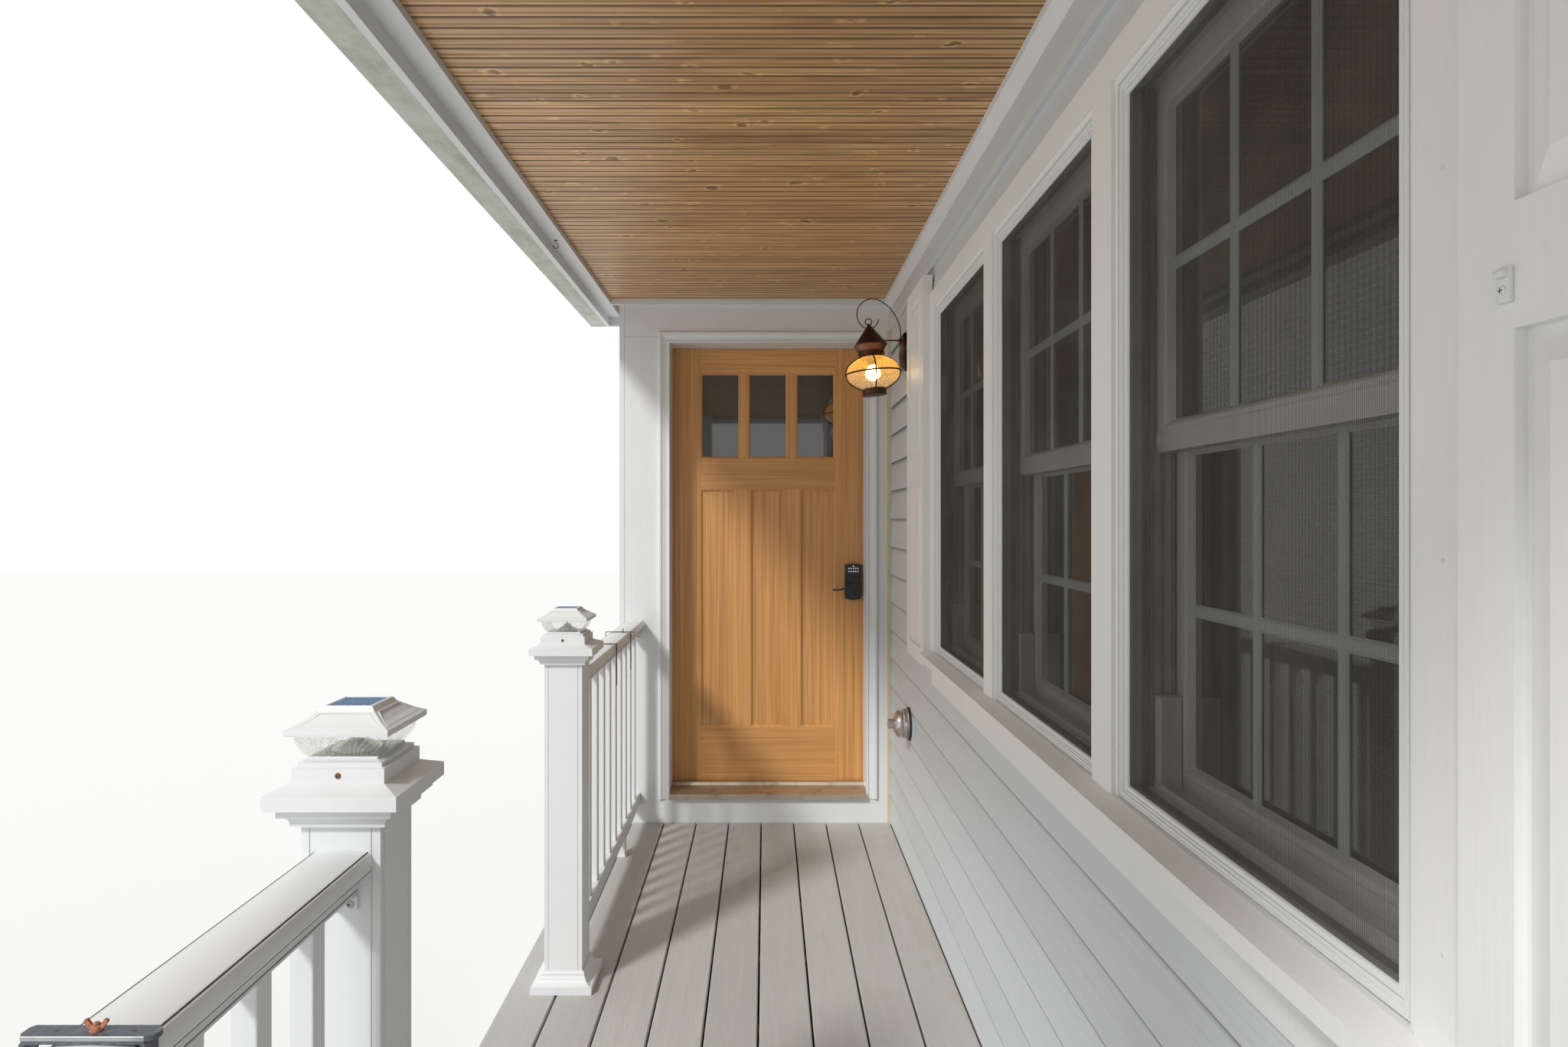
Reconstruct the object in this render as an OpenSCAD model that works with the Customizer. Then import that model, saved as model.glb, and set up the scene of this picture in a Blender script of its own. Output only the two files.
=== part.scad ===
// Front porch of a timber house: deck, steps, rail, eave, window wall and entry door.
// Lengths are in millimetres. In the modules X = 0 is the bare face of the house wall,
// Y = 0 is the face of the end wall with the door, and Z = 0 is the ground.
// Minus X is the street side and minus Y is the open end of the porch.

/* [Porch] */
// Length from the end wall to the open end of the deck
porch_len = 4462; // [4200:1:4900]
// Height of the deck's walking surface above the ground
deck_h = 534; // [480:1:600]
// Height of the wall between the door casing and the ceiling
header_h = 144; // [110:1:300]
// How far walls and eave run on past the end wall's back, where they are cut
past_end = 117; // [60:1:200]

/* [Deck] */
// Number of deck boards
board_count = 9; // [8:1:10]
// Width of one deck board
board_w = 140; // [134:1:150]
// Gap between deck boards
board_gap = 6; // [3:1:8]
// Thickness of the deck boards
board_t = 25; // [20:1:32]
// Overhang of the deck boards past the skirt
board_over = 25; // [15:1:40]
// Radius of the boards' eased edges
board_ease = 3; // [1:0.5:5]
// Gap between the deck boards and the house wall's bare face
deck_gap = 14; // [12:1:20]
// Depth of the deck joists
joist_d = 184; // [140:1:220]
// Thickness of joists, rafters and other framing timber
timber_t = 38; // [34:1:50]
// Spacing of the deck joists and of the rafters
joist_pitch = 406; // [300:1:610]
// Thickness of the skirt boards
skirt_t = 19; // [15:1:25]
// Radius of the round concrete piers
pier_r = 100; // [80:1:120]

/* [Steps] */
// Clear gap between the two rail posts at the steps
step_gap = 1274; // [1100:1:1400]
// Width of a stone step
step_w = 1220; // [900:1:1400]
// Run of a stone step
step_run = 356; // [280:1:420]

/* [House wall] */
// Thickness of the house wall without siding
house_t = 140; // [115:1:180]
// Height of the concrete foundation above the ground
foundation_h = 280; // [200:1:300]
// Width of the foundation under the walls
foundation_w = 160; // [140:1:200]
// How far the house wall stands above the roof
wall_over = 90; // [60:1:150]
// Exposed height of one siding course
siding_exposure = 124; // [100:1:140]
// Thickness of the siding at its lower edge
siding_butt = 15; // [13:1:18]
// Thickness of the siding at its upper edge
siding_top = 6; // [4:1:8]

/* [End wall] */
// Width of the end wall, from the house wall to its outer corner
end_w = 1235; // [1180:1:1290]
// Thickness of the end wall behind its cladding
end_wall_t = 165; // [120:1:190]
// Thickness of the smooth cladding boards
clad_t = 18; // [12:1:22]
// Width of the corner board at the outer corner
corner_board_w = 22; // [18:1:60]
// Width of the trim strip in the inside corner
inside_strip_w = 26; // [20:1:40]

/* [Door] */
// Distance from the house wall to the middle of the door
door_x = 565; // [560:1:580]
// Width of the door leaf
door_w = 914; // [900:1:920]
// Height of the door leaf
door_h = 2032; // [1980:1:2040]
// Thickness of the door leaf
door_t = 45; // [40:1:50]
// Clearance round the door leaf
door_gap = 5; // [4:0.5:6]
// Height of the leaf's lower edge above the deck
door_z = 146; // [130:1:180]
// Thickness of the jamb behind its stop
jamb_t = 19; // [16:1:25]
// How far the stop laps over the leaf's edge
stop_lap = 13; // [11:1:16]
// Width of the moulded outside casing
casing_w = 50; // [44:1:60]
// Thickness of the moulded outside casing
casing_t = 32; // [28:1:38]
// Width of the door's stiles
stile_w = 143; // [130:1:150]
// Width of the bars between lites
lite_bar_w = 38; // [30:1:50]
// Width of the stiles between panels
panel_bar_w = 73; // [60:1:85]
// Bevel of the lock edge, so that it clears the jamb as it swings
edge_bevel = 2.5; // [2:0.1:3]
// Height of a lite
lite_h = 398; // [360:1:420]
// Height of a panel
panel_h = 1109; // [1060:1:1130]
// Height of the rail above the lites
top_rail_h = 127; // [110:1:140]
// Height of the rail between lites and panels
mid_rail_h = 144; // [130:1:160]
// Depth of the panel recess on each side
panel_recess = 10; // [6:1:13]
// Width of the bevel round the lites and panels
sticking_w = 8; // [4:0.5:12]
// Thickness of the lite glass
lite_t = 12; // [6:1:20]
// Distance from the leaf's edge to the lever's axis
backset = 60; // [56:1:70]
// Height of the lever's axis above the deck
lever_z = 1061; // [950:1:1150]
// Width of the keypad lock
lock_w = 76; // [66:1:84]
// Height of the keypad lock
lock_h = 168; // [150:1:190]
// Thickness of the keypad lock
lock_t = 24; // [18:1:30]
// Rise of the lock's arched upper end
lock_arch_top = 5; // [0:0.5:8]
// Drop of the lock's arched lower end
lock_arch_low = 8; // [0:0.5:10]
// Radius of the lever's spindle
spindle_r = 6; // [5:0.5:7]
// Reach of the lever from its axis
lever_reach = 98; // [90:1:110]
// Radius of the lever's bend
lever_bend_r = 91; // [80:1:140]
// Height of the lever's grip
grip_h = 8; // [6:0.5:12]
// Height of a door hinge
hinge_h = 102; // [90:1:110]
// Radius of a hinge knuckle
knuckle_r = 6; // [5:0.5:6.5]
// Radius of a hinge pin
hinge_pin_r = 3.5; // [3:0.25:4]
// Running clearance of pins and spindles in their bores
running_gap = 0.05; // [0.02:0.01:0.08]

/* [Windows] */
// Number of double-hung windows in the bank
window_count = 3; // [2:1:3]
// Width of one window opening
window_w = 650; // [600:1:680]
// Height of the window openings
window_h = 1123; // [1000:1:1180]
// Width of the post between two windows
mullion_w = 110; // [80:1:120]
// Distance from the end wall to the first window opening
window_y = 1144; // [1050:1:1200]
// Height of the window openings' lower edge above the deck
window_z = 935; // [880:1:960]
// Width of the side casing
side_casing_w = 90; // [70:1:100]
// Height of the head casing
head_casing_h = 68; // [55:1:72]
// Thickness of the window casing
window_casing_t = 25; // [20:1:30]
// Width of the step along the casing's inner edges
lip_w = 12; // [8:1:16]
// Depth of the step along the casing's inner edges
lip_d = 6; // [3:1:9]
// Projection of the sill from the bare wall
sill_out = 60; // [45:1:80]
// Height of the sill
sill_h = 36; // [25:1:45]
// Height of the apron under the sill
apron_h = 80; // [50:1:100]
// Visible width of the vinyl window frame
frame_w = 15; // [10:1:25]
// Depth of the vinyl window frame
frame_d = 96; // [90:1:110]
// Width of a sash's stiles and rails
sash_w = 42; // [35:1:50]
// Thickness of a sash
sash_t = 28; // [24:1:30]
// Thickness of the window glass
glass_t = 6; // [4:1:12]
// Thickness of an insect screen
screen_t = 8; // [6:1:10]
// Width of a shutter
shutter_w = 350; // [300:1:380]
// Height of a shutter
shutter_h = 1314; // [1200:1:1380]
// Height of the shutters' lower edge above the deck
shutter_z = 876; // [850:1:900]
// Thickness of a shutter
shutter_t = 32; // [25:1:38]
// Height of the shutter's lock rail, from the shutter's lower edge
lock_rail_z = 632; // [580:1:680]

/* [Roof] */
// Thickness of the beadboard ceiling
ceiling_t = 17; // [12:1:20]
// Width of the trim board along the eave
eave_trim_w = 56; // [45:1:70]
// Thickness of the ceiling trim
trim_t = 19; // [15:1:22]
// Projection of the bed moulding along the house wall
bed_w = 41; // [30:1:50]
// Drop of the bed moulding along the house wall
bed_h = 53; // [40:1:60]
// Height of the frieze board on the house wall
frieze_h = 92; // [70:1:95]
// How far the fascia hangs below the ceiling
fascia_drop = 57; // [45:1:70]
// Height of the fascia
fascia_h = 184; // [170:1:200]
// Overhang of the fascia's back past the end wall's outer corner
eave_over = 93; // [80:1:130]
// Slope of the roof in degrees
roof_slope = 14; // [10:0.5:18]
// Thickness of the roof deck with its shingles
roof_t = 22; // [18:1:30]
// Overhang of the roof deck at the eave
roof_drip = 25; // [20:1:40]
// Overhang of the roof past the deck's open end
rake_over = 60; // [50:1:100]
// Depth of the rafters
rafter_d = 140; // [130:1:150]
// Depth of the ceiling joists
ceiling_joist_d = 64; // [50:1:70]
// Width of the gutter's flat bottom
gutter_bottom_w = 72; // [65:1:80]
// Width of the gutter at its rim
gutter_w = 122; // [115:1:130]
// Height of the gutter
gutter_h = 104; // [95:1:112]
// Wall of the gutter
gutter_t = 2; // [1.5:0.1:3]

/* [Rail] */
// Distance of the rail's centre line from the end wall's outer corner
rail_inset = 70; // [62:1:110]
// Clear length of the rail between the end wall and the far post
far_rail_len = 1342; // [1200:1:1400]
// Width of a post sleeve
post_w = 110; // [100:1:115]
// How far a post sleeve stands above the rail
post_over = 49; // [30:1:80]
// Width of the corner column
column_w = 140; // [130:1:150]
// Distance of the corner column from the deck's open end
column_inset = 30; // [20:1:60]
// Width of the trim at a post's foot
base_w = 176; // [165:1:185]
// Height of the trim at a post's foot
base_h = 55; // [45:1:70]
// Height of the rail's top above the deck
rail_h = 914; // [900:1:940]
// Width of the top rail
top_rail_w = 89; // [80:1:100]
// Height of the top rail
top_rail_d = 62; // [60:1:85]
// Width of the bottom rail
bottom_rail_w = 46; // [40:1:52]
// Height of the bottom rail
bottom_rail_d = 57; // [45:1:60]
// Height of the bottom rail's underside above the deck
bottom_rail_z = 80; // [70:1:95]
// Width of a baluster
baluster_w = 32; // [28:1:38]
// Spacing of the balusters
baluster_pitch = 127; // [110:1:135]

/* [Post cap and light] */
// How far the cap's neck stands out from the sleeve
cap_neck_out = 10.5; // [8:0.5:14]
// Radius of the cap's cove
cap_cove_r = 12; // [8:0.5:14]
// How far the cap's edge stands out from the sleeve
cap_out = 36.5; // [32:0.5:42]
// Height of the cap's edge
cap_edge_h = 20; // [14:1:24]
// Height of the cap's sloping top
cap_slope_h = 11; // [6:1:16]
// How far the sleeve reaches up into the cap
cap_lap = 15; // [10:1:20]
// How far the light's base stands out from the sleeve
light_out = 9; // [6:0.5:12]
// Height of the light's base
light_base_h = 20; // [14:1:26]
// Height of the light's clear lens
lens_h = 34; // [28:1:40]
// How far the light's hood stands out from the sleeve
hood_out = 17; // [14:0.5:20]
// Height of the hood's sloping faces
hood_h = 20; // [14:1:26]
// Width of the frame round the solar cell
cell_frame_w = 80; // [70:1:90]

/* [Wall fittings] */
// Distance of the lantern from the end wall
lantern_y = 528; // [480:1:560]
// Distance of the lantern's axis from the house wall
lantern_x = 153; // [145:1:170]
// Height of the middle of the lantern's globe above the deck
lantern_z = 1945; // [1850:1:1960]
// Radius of the globe at its middle
globe_r = 105; // [95:1:115]
// Half the height of the globe
globe_half_h = 70; // [65:1:75]
// Radius of the globe's rounded side
globe_side_r = 50; // [45:1:55]
// Wall of the globe
globe_t = 3; // [2:0.5:4]
// Radius of the cage wire
wire_r = 2; // [1.5:0.25:3]
// Lean of the lantern towards the street in degrees
lantern_lean = 5; // [0:1:8]
// Number of upright cage wires
cage_wires = 4; // [3:1:6]
// Radius of the cap at its brim
brim_r = 66; // [58:1:76]
// Height of the brim above the globe's middle
brim_h = 108; // [98:1:116]
// Height of the cap's tip above the globe's middle
cap_tip_h = 189; // [175:1:205]
// Height of the wall plate
plate_h = 154; // [130:1:170]
// Width of the wall plate
plate_w = 96; // [80:1:110]
// Radii and turns of the scroll's three bends
scroll = [[155, 61.8], [61.4, 168.6], [38, 128]];
// Distance of the round valve from the end wall
valve_y = 566; // [500:1:640]
// Height of the round valve above the deck
valve_z = 574; // [450:1:700]
// Radius of the round valve's base
valve_r = 62; // [50:1:70]
// Projection of the round valve's stem
valve_out = 85; // [75:1:100]
// Radius of the round valve's stem
valve_stem_r = 18; // [14:1:22]

/* [Hidden] */
$fn = 48;
e = 0.01;
// Deck
deck_x1 = -deck_gap;
deck_x0 = deck_x1 - board_count * board_w - (board_count - 1) * board_gap;
near_y = -porch_len;
skirt_x = deck_x0 + board_over;
frame_x0 = skirt_x + skirt_t;
frame_y0 = near_y + board_over + skirt_t;
frame_z1 = deck_h - board_t;
frame_z0 = frame_z1 - joist_d;
joist_count = ceil((-frame_y0 - timber_t) / joist_pitch);
joist_step = (-frame_y0 - timber_t) / joist_count;
pier_every = 3;
foundation_out = 10;
riser_count = 3;
riser_h = deck_h / riser_count;
// Walls
joint_w = 2;
siding_lift = 6;
backing_margin = 8;
// End wall
stop_w = door_gap + stop_lap;
end_y1 = clad_t + end_wall_t;
far_y = end_y1 + past_end;
// Rail
rail_x = end_w - rail_inset;
post_h = rail_h + post_over;
column_base_out = 24;
base_cove = 0.4;
base_neck = 0.78;
base_cap = 0.92;
base_step = 8;
groove_inset = 12;
groove_w = 2.5;
groove_d = 1.5;
crown_r = 160;
crown_edge = 8;
rail_side_h = 20;
rail_groove_h = 6;
rail_groove_d = 5;
rail_cove_r = 23;
rail_cove_out = 2;
rail_cove_z = 52;
rail_web_w = 44;
rail_web_z = 56;
rail_foot_w = 40;
rail_foot_at = 0.7;
far_post_y = -far_rail_len - post_w / 2;
near_post_y = far_post_y - step_gap - post_w;
column_y = near_y + column_inset + column_w / 2;
gap_y = (far_post_y + near_post_y) / 2;
// Post cap and light
cap_lip = 4;
cap_z0 = post_h - cap_lap;
cap_neck_x = post_w / 2 + cap_neck_out;
cap_collar_x = cap_neck_x + cap_cove_r + 1;
cap_collar_h = 13;
cap_edge_z = cap_z0 + cap_lip + cap_cove_r + cap_collar_h;
cap_x = post_w / 2 + cap_out;
light_x = post_w / 2 + light_out;
light_z = cap_edge_z + cap_edge_h + cap_slope_h;
light_step = 6;
lens_z = light_z + light_base_h + 2 * light_step + 1;
lens_inset = 4;
lens_x0 = light_x - 2 * light_step - lens_inset;
lens_turn = 45;
hood_z = lens_z + lens_h;
hood_x = post_w / 2 + hood_out;
hood_rim_h = 7;
hood_flare_x = 0.55;
hood_flare_h = 0.38;
hood_top_z = hood_z + hood_rim_h + hood_h;
cell_frame_h = 6;
cell_frame_slope = 4;
// Roof
eave_x = end_w + eave_over;
ceiling_h = door_z + door_h + door_gap - stop_w + casing_w + header_h;
ceiling_z = deck_h + ceiling_h;
ceiling_top = ceiling_z + ceiling_t;
eave_trim_x = -eave_x + eave_trim_w;
fascia_x0 = -eave_x - trim_t;
fascia_z0 = ceiling_z - fascia_drop;
fascia_z1 = fascia_z0 + fascia_h;
roof_y0 = near_y - rake_over;
rake_inset = 20;
rake_y0 = roof_y0 + rake_inset;
rake_y1 = rake_y0 + trim_t;
roof_rise = tan(roof_slope);
roof_v = roof_t / cos(roof_slope);
rafter_v = rafter_d / cos(roof_slope);
rafter_y0 = rake_y1;
rafter_y1 = far_y - trim_t - timber_t;
rafter_count = ceil((rafter_y1 - rafter_y0) / joist_pitch);
gutter_curve_z = 34;
gutter_face_h = 18;
bed_lip = 4;
wall_top = roof_z(0) + roof_v + wall_over;
// Door
door_x0 = -door_x - door_w / 2;
door_x1 = -door_x + door_w / 2;
door_z0 = deck_h + door_z;
door_z1 = door_z0 + door_h;
door_y0 = end_y1 - door_t;
opening_x0 = door_x0 - door_gap - jamb_t;
opening_x1 = door_x1 + door_gap + jamb_t;
opening_z1 = door_z1 + door_gap + jamb_t;
sill_top = door_z0 - door_gap;
threshold_h = 32;
threshold_out = 8;
threshold_edge_h = 24;
stop_bead_gap = 10;
stop_bead_w = 30;
stop_bead_h = 12;
stop_bead_slope = 2;
seal_h = 20;
sill_bottom = sill_top - threshold_h;
nose_y = clad_t - casing_t - threshold_out;
bead_y = door_y0 - stop_bead_gap;
casing_x0 = door_x0 - door_gap + stop_w - casing_w;
casing_x1 = door_x1 + door_gap - stop_w + casing_w;
casing_z1 = door_z1 + door_gap - stop_w + casing_w;
casing_ease = 4;
casing_bead_w = 13;
casing_dip = 11;
casing_lip_w = 9;
casing_lip_d = 6;
casing_slope = 2.5;
// Moulded casing outline: distance from the opening, then thickness
casing_outline = [
    [0, 0], [casing_w, 0], [casing_w, casing_t - casing_ease], [casing_w - casing_ease, casing_t],
    [casing_w - casing_bead_w, casing_t], [casing_w - casing_bead_w - casing_slope, casing_t - casing_ease],
    [casing_lip_w + casing_slope, casing_t - casing_dip], [casing_lip_w, casing_t - casing_lip_d],
    [0, casing_t - casing_lip_d]
];
lite_w = (door_w - 2 * stile_w - 2 * lite_bar_w) / 3;
panel_w = (door_w - 2 * stile_w - 2 * panel_bar_w) / 3;
lite_z0 = door_z1 - top_rail_h - lite_h;
panel_z0 = lite_z0 - mid_rail_h - panel_h;
lever_x = door_x1 - backset;
lever_zz = deck_h + lever_z;
lock_drop = 67;
lock_bevel = 2.5;
hub_r = 12;
spindle_hole_r = 12;
hub_len = 34;
hub_gap = 0.3;
grip_a0 = -42;
grip_t = 10;
grip_flare = 8;
grip_low = 0.6;
grip_high = 0.9;
hinge_x = door_x0 - door_gap / 2;
hinge_y = end_y1 + knuckle_r + 1;
hinge_leaf_t = 2.2;
hinge_leaf_d = 34;
hinge_inset = 180;
knuckles = 5;
knuckle_gap = 0.4;
knuckle_h = hinge_h / knuckles;
knuckle_wall = 0.5;
// Heights of the lower ends of the three hinges
hinge_zs = [door_z0 + hinge_inset, (door_z0 + door_z1 - hinge_h) / 2, door_z1 - hinge_inset - hinge_h];
// Windows
bank_y1 = -window_y;
bank_len = window_count * window_w + (window_count - 1) * mullion_w;
bank_y0 = bank_y1 - bank_len;
window_z0 = deck_h + window_z;
window_z1 = window_z0 + window_h;
pane_w = window_w - 2 * frame_w;
screen_x = 12;
upper_sash_x = 34;
lower_sash_x = upper_sash_x + sash_t + 2;
sash_h = (window_h - 2 * frame_w + sash_w) / 2;
sill_slope_h = 12;
trim_lap = 2;
frieze_z1 = ceiling_z - bed_h;
frieze_z0 = frieze_z1 - frieze_h;
shutter_y_far = bank_y1 + side_casing_w;
shutter_y_near = bank_y0 - side_casing_w - shutter_w;
shutter_stile = 52;
lock_rail_h = 90;
panel_sink = 9;
panel_rise = 8;
panel_margin = 4;
raise_w = 24;
shutter_bays = [[shutter_stile, lock_rail_z], [lock_rail_z + lock_rail_h, shutter_h - shutter_stile]];
// Lantern
lantern_zz = deck_h + lantern_z;
globe_cap_drop = (pow(globe_r - globe_side_r, 2) - pow(globe_half_h - globe_side_r, 2))
    / (2 * (globe_half_h - globe_side_r));
globe_top_r = globe_half_h + globe_cap_drop;
globe_neck_r = 44;
arm_z = lantern_zz + 128;
plate_t = 14;
plate_x = -siding_butt - plate_t;
plate_z0 = lantern_zz + 7;
scroll_foot_x = plate_x + lantern_x - 15;
scroll_foot_h = 20;
arm_x0 = 20;
arm_r = 3;
neck_ring_r = 51;
ring_drop = 88;
cup_out = 3;
cup_wall = 2;
spigot_h = 12;
flare_h = 22;
brim_lip = 4;
plate_step_t = 4;
plate_rim = 5;
bulb_r = 28;
bulb_neck_r = 14;
cap_tip_r = 5;
eye_r = 13;
hoop_r = wire_r + 0.5;
joint_r = wire_r + 0.3;
// Turned outline of the round valve: how far in from its radius, and the height above its base
valve_outline = [
    [0, 0], [0, 11], [2, 13], [6, 13], [4, 17], [5, 26], [8, 29], [16, 29],
    [16, 35], [11, 36], [9, 42], [14, 52], [28, 60]
];
// Overall box, so that the origin lies at the middle of the footprint
x_min = skirt_x - (riser_count - 1) * step_run;
x_max = max(house_t, foundation_w - foundation_out);
mid_x = (x_min + x_max) / 2;
mid_y = (roof_y0 + far_y) / 2;

// Height of the rafters' upper edge at a place x
function roof_z(x) = fascia_z1 + (x + eave_x) * roof_rise;
// Mirrors an outline of half widths and heights to a closed one
function mirrored(half) =
    concat(half, [for (i = [len(half) - 1:-1:0]) if (half[i][0] > 0) [-half[i][0], half[i][1]]]);
// Points of an arc
function arc(cx, cy, r, a0, a1, n) =
    [for (i = [0:n]) [cx + r * cos(a0 + (a1 - a0) * i / n), cy + r * sin(a0 + (a1 - a0) * i / n)]];

// Puts the origin on the ground at the middle of the porch's box
module place() translate([-mid_x, -mid_y, 0]) children();
// Box between two corners
module block(x0, x1, y0, y1, z0, z1) translate([x0, y0, z0]) cube([x1 - x0, y1 - y0, z1 - z0]);
// Outline in X and Z, drawn out along Y
module along_y(y0, y1) translate([0, y1, 0]) rotate([90, 0, 0]) linear_extrude(y1 - y0) children();
// Outline in Y and Z, drawn out along X
module along_x(x0, x1) translate([x0, 0, 0]) rotate([90, 0, 90]) linear_extrude(x1 - x0) children();
// Square moulding with mitred corners from half its outline
module square_mould(half) {
    reach = max([for (p = half) p[0]]) + 1;
    intersection() {
        along_y(-reach, reach) polygon(mirrored(half));
        along_x(-reach, reach) polygon(mirrored(half));
    }
}
module at_posts() for (y = [near_post_y, far_post_y]) translate([-rail_x, y, deck_h]) children();

module foundation() color("silver") place() {
    block(-foundation_out, foundation_w - foundation_out, near_y, far_y, 0, foundation_h);
    block(-end_w + clad_t, -foundation_out, clad_t, end_y1, 0, foundation_h);
    for (i = [1:pier_every:joist_count])
        translate([-rail_x, frame_y0 + timber_t / 2 + i * joist_step, 0])
            cylinder(h = frame_z0, r = pier_r);
}
module deck_frame() color("burlywood") place() {
    block(frame_x0, frame_x0 + timber_t, frame_y0, 0, frame_z0, frame_z1);
    block(-timber_t, 0, frame_y0, 0, frame_z0, frame_z1);
    for (i = [0:joist_count])
        block(frame_x0, 0, frame_y0 + i * joist_step, frame_y0 + i * joist_step + timber_t,
            frame_z0, frame_z1);
}
module deck_skirt() color("white") place() {
    block(skirt_x, skirt_x + skirt_t, near_y + board_over, 0, 0, frame_z1);
    block(skirt_x, -foundation_out, near_y + board_over, near_y + board_over + skirt_t, 0, frame_z1);
}
module deck_board() polygon([
    [0, board_ease], [board_ease, 0], [board_w - board_ease, 0], [board_w, board_ease],
    [board_w, board_t - board_ease], [board_w - board_ease, board_t],
    [board_ease, board_t], [0, board_t - board_ease]
]);
module deck_boards() color("lightgray") place()
    for (i = [0:board_count - 1])
        translate([deck_x0 + i * (board_w + board_gap), 0, frame_z1]) along_y(near_y, 0) deck_board();
module stone_step(i) place()
    block(skirt_x - (riser_count - 1 - i) * step_run, skirt_x,
        gap_y - step_w / 2, gap_y + step_w / 2, i * riser_h, (i + 1) * riser_h);
module lower_step() color("slategray") stone_step(0);
module upper_step() color("slategray") stone_step(1);

module house_wall_low() color("gainsboro") place()
    block(0, house_t, near_y, far_y, foundation_h, window_z0);
module house_wall_high() color("gainsboro") place()
    block(0, house_t, near_y, far_y, window_z1, wall_top);
module house_wall_near() color("gainsboro") place()
    block(0, house_t, near_y, bank_y0, window_z0, window_z1);
module house_wall_far() color("gainsboro") place()
    block(0, house_t, bank_y1, far_y, window_z0, window_z1);
// Saw-tooth outline of the lap siding, from the deck to the frieze
module siding_outline() {
    z0 = deck_h + siding_lift;
    courses = ceil((frieze_z0 - z0) / siding_exposure);
    polygon(concat(
        [[0, z0]],
        [for (i = [0:courses - 1]) each [
            [-siding_butt, z0 + i * siding_exposure],
            [-siding_top, min(z0 + (i + 1) * siding_exposure, frieze_z0)]
        ]],
        [[0, frieze_z0]]
    ));
}
// Flat block that reaches half a width w and half a height h from y and z, and a margin further
module backing(y, z, w, h) {
    half_w = w + backing_margin;
    half_h = h + backing_margin;
    block(-siding_butt, 0, y - half_w, y + half_w, z - half_h, z + half_h);
}
module house_siding() color("whitesmoke") place() {
    difference() {
        along_y(near_y, -inside_strip_w) siding_outline();
        block(-siding_butt - 1, 1, bank_y0 - side_casing_w, bank_y1 + side_casing_w,
            window_z0 - sill_h - apron_h, window_z1 + head_casing_h);
    }
    block(-trim_t, 0, near_y, -e, frieze_z0, frieze_z1);
    block(-inside_strip_w, 0, -inside_strip_w, 0, deck_h, frieze_z0);
    backing(-lantern_y, plate_z0 + plate_h / 2, plate_w / 2, plate_h / 2);
    backing(-valve_y, deck_h + valve_z, valve_r, valve_r);
}

module end_wall_left() color("gainsboro") place()
    block(-end_w + clad_t, opening_x0, clad_t, far_y, foundation_h, ceiling_top);
module end_wall_right() color("gainsboro") place()
    block(opening_x1, 0, clad_t, end_y1, foundation_h, ceiling_top);
module end_wall_high() color("gainsboro") place()
    block(opening_x0, opening_x1, clad_t, end_y1, opening_z1, ceiling_top);
module end_wall_low() color("gainsboro") place()
    block(opening_x0, opening_x1, clad_t, end_y1, foundation_h, sill_bottom);
module end_cladding() color("white") place() {
    difference() {
        block(-end_w, 0, 0, clad_t, foundation_h, ceiling_top);
        block(casing_x0, casing_x1, -1, clad_t + 1, sill_bottom, casing_z1);
        block(-end_w + corner_board_w, -end_w + corner_board_w + joint_w, -1, joint_w,
            foundation_h - 1, ceiling_top + 1);
    }
    block(-end_w, -end_w + clad_t, clad_t - 1, far_y, foundation_h, ceiling_top);
}

module door_frame() color("white") place() difference() {
    block(opening_x0, opening_x1, clad_t, end_y1, sill_top, opening_z1);
    block(door_x0 - door_gap, door_x1 + door_gap, door_y0 - door_gap, end_y1 + 1,
        sill_top - 1, door_z1 + door_gap);
    block(door_x0 - door_gap + stop_w, door_x1 + door_gap - stop_w, clad_t - 1, end_y1,
        sill_top - 1, door_z1 + door_gap - stop_w);
}
module door_casing() color("white") place() {
    inner = [casing_x0 + casing_w, casing_x1 - casing_w, casing_z1 - casing_w];
    for (side = [[inner[0], -1], [inner[1], 1]])
        intersection() {
            translate([0, 0, sill_bottom]) linear_extrude(casing_z1 - sill_bottom)
                polygon([for (p = casing_outline) [side[0] + side[1] * p[0], clad_t - p[1]]]);
            along_y(clad_t - casing_t - 1, clad_t + 1) polygon([
                [side[0], sill_bottom], [side[0] + side[1] * casing_w, sill_bottom],
                [side[0] + side[1] * casing_w, casing_z1], [side[0], inner[2]]
            ]);
        }
    intersection() {
        along_x(casing_x0, casing_x1)
            polygon([for (p = casing_outline) [clad_t - p[1], inner[2] + p[0]]]);
        along_y(clad_t - casing_t - 1, clad_t + 1) polygon([
            [inner[0], inner[2]], [inner[1], inner[2]], [casing_x1, casing_z1], [casing_x0, casing_z1]
        ]);
    }
}
module door_threshold() color("silver") place() difference() {
    along_x(opening_x0, opening_x1) polygon([
        [nose_y, sill_bottom], [end_y1, sill_bottom], [end_y1, sill_top], [bead_y, sill_top],
        [bead_y - stop_bead_slope, sill_top + stop_bead_h], [bead_y - stop_bead_w, sill_top + stop_bead_h],
        [bead_y - stop_bead_w - 3 * stop_bead_slope, sill_top], [nose_y, sill_bottom + threshold_edge_h]
    ]);
    block(opening_x0 - 1, casing_x0 + casing_w, nose_y - 1, clad_t, sill_bottom - 1, sill_top);
    block(casing_x1 - casing_w, opening_x1 + 1, nose_y - 1, clad_t, sill_bottom - 1, sill_top);
    for (x = [[opening_x0 - 1, door_x0 - door_gap + stop_w], [door_x1 + door_gap - stop_w, opening_x1 + 1]])
        block(x[0], x[1], clad_t - 1, end_y1 + 1, sill_top, sill_top + seal_h);
}
// Places three lites or panels of width w with bars of width bar between them
module at_bays(w, bar, z0) for (i = [0:2])
    translate([door_x0 + stile_w + i * (w + bar), door_y0, z0]) children();
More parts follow.
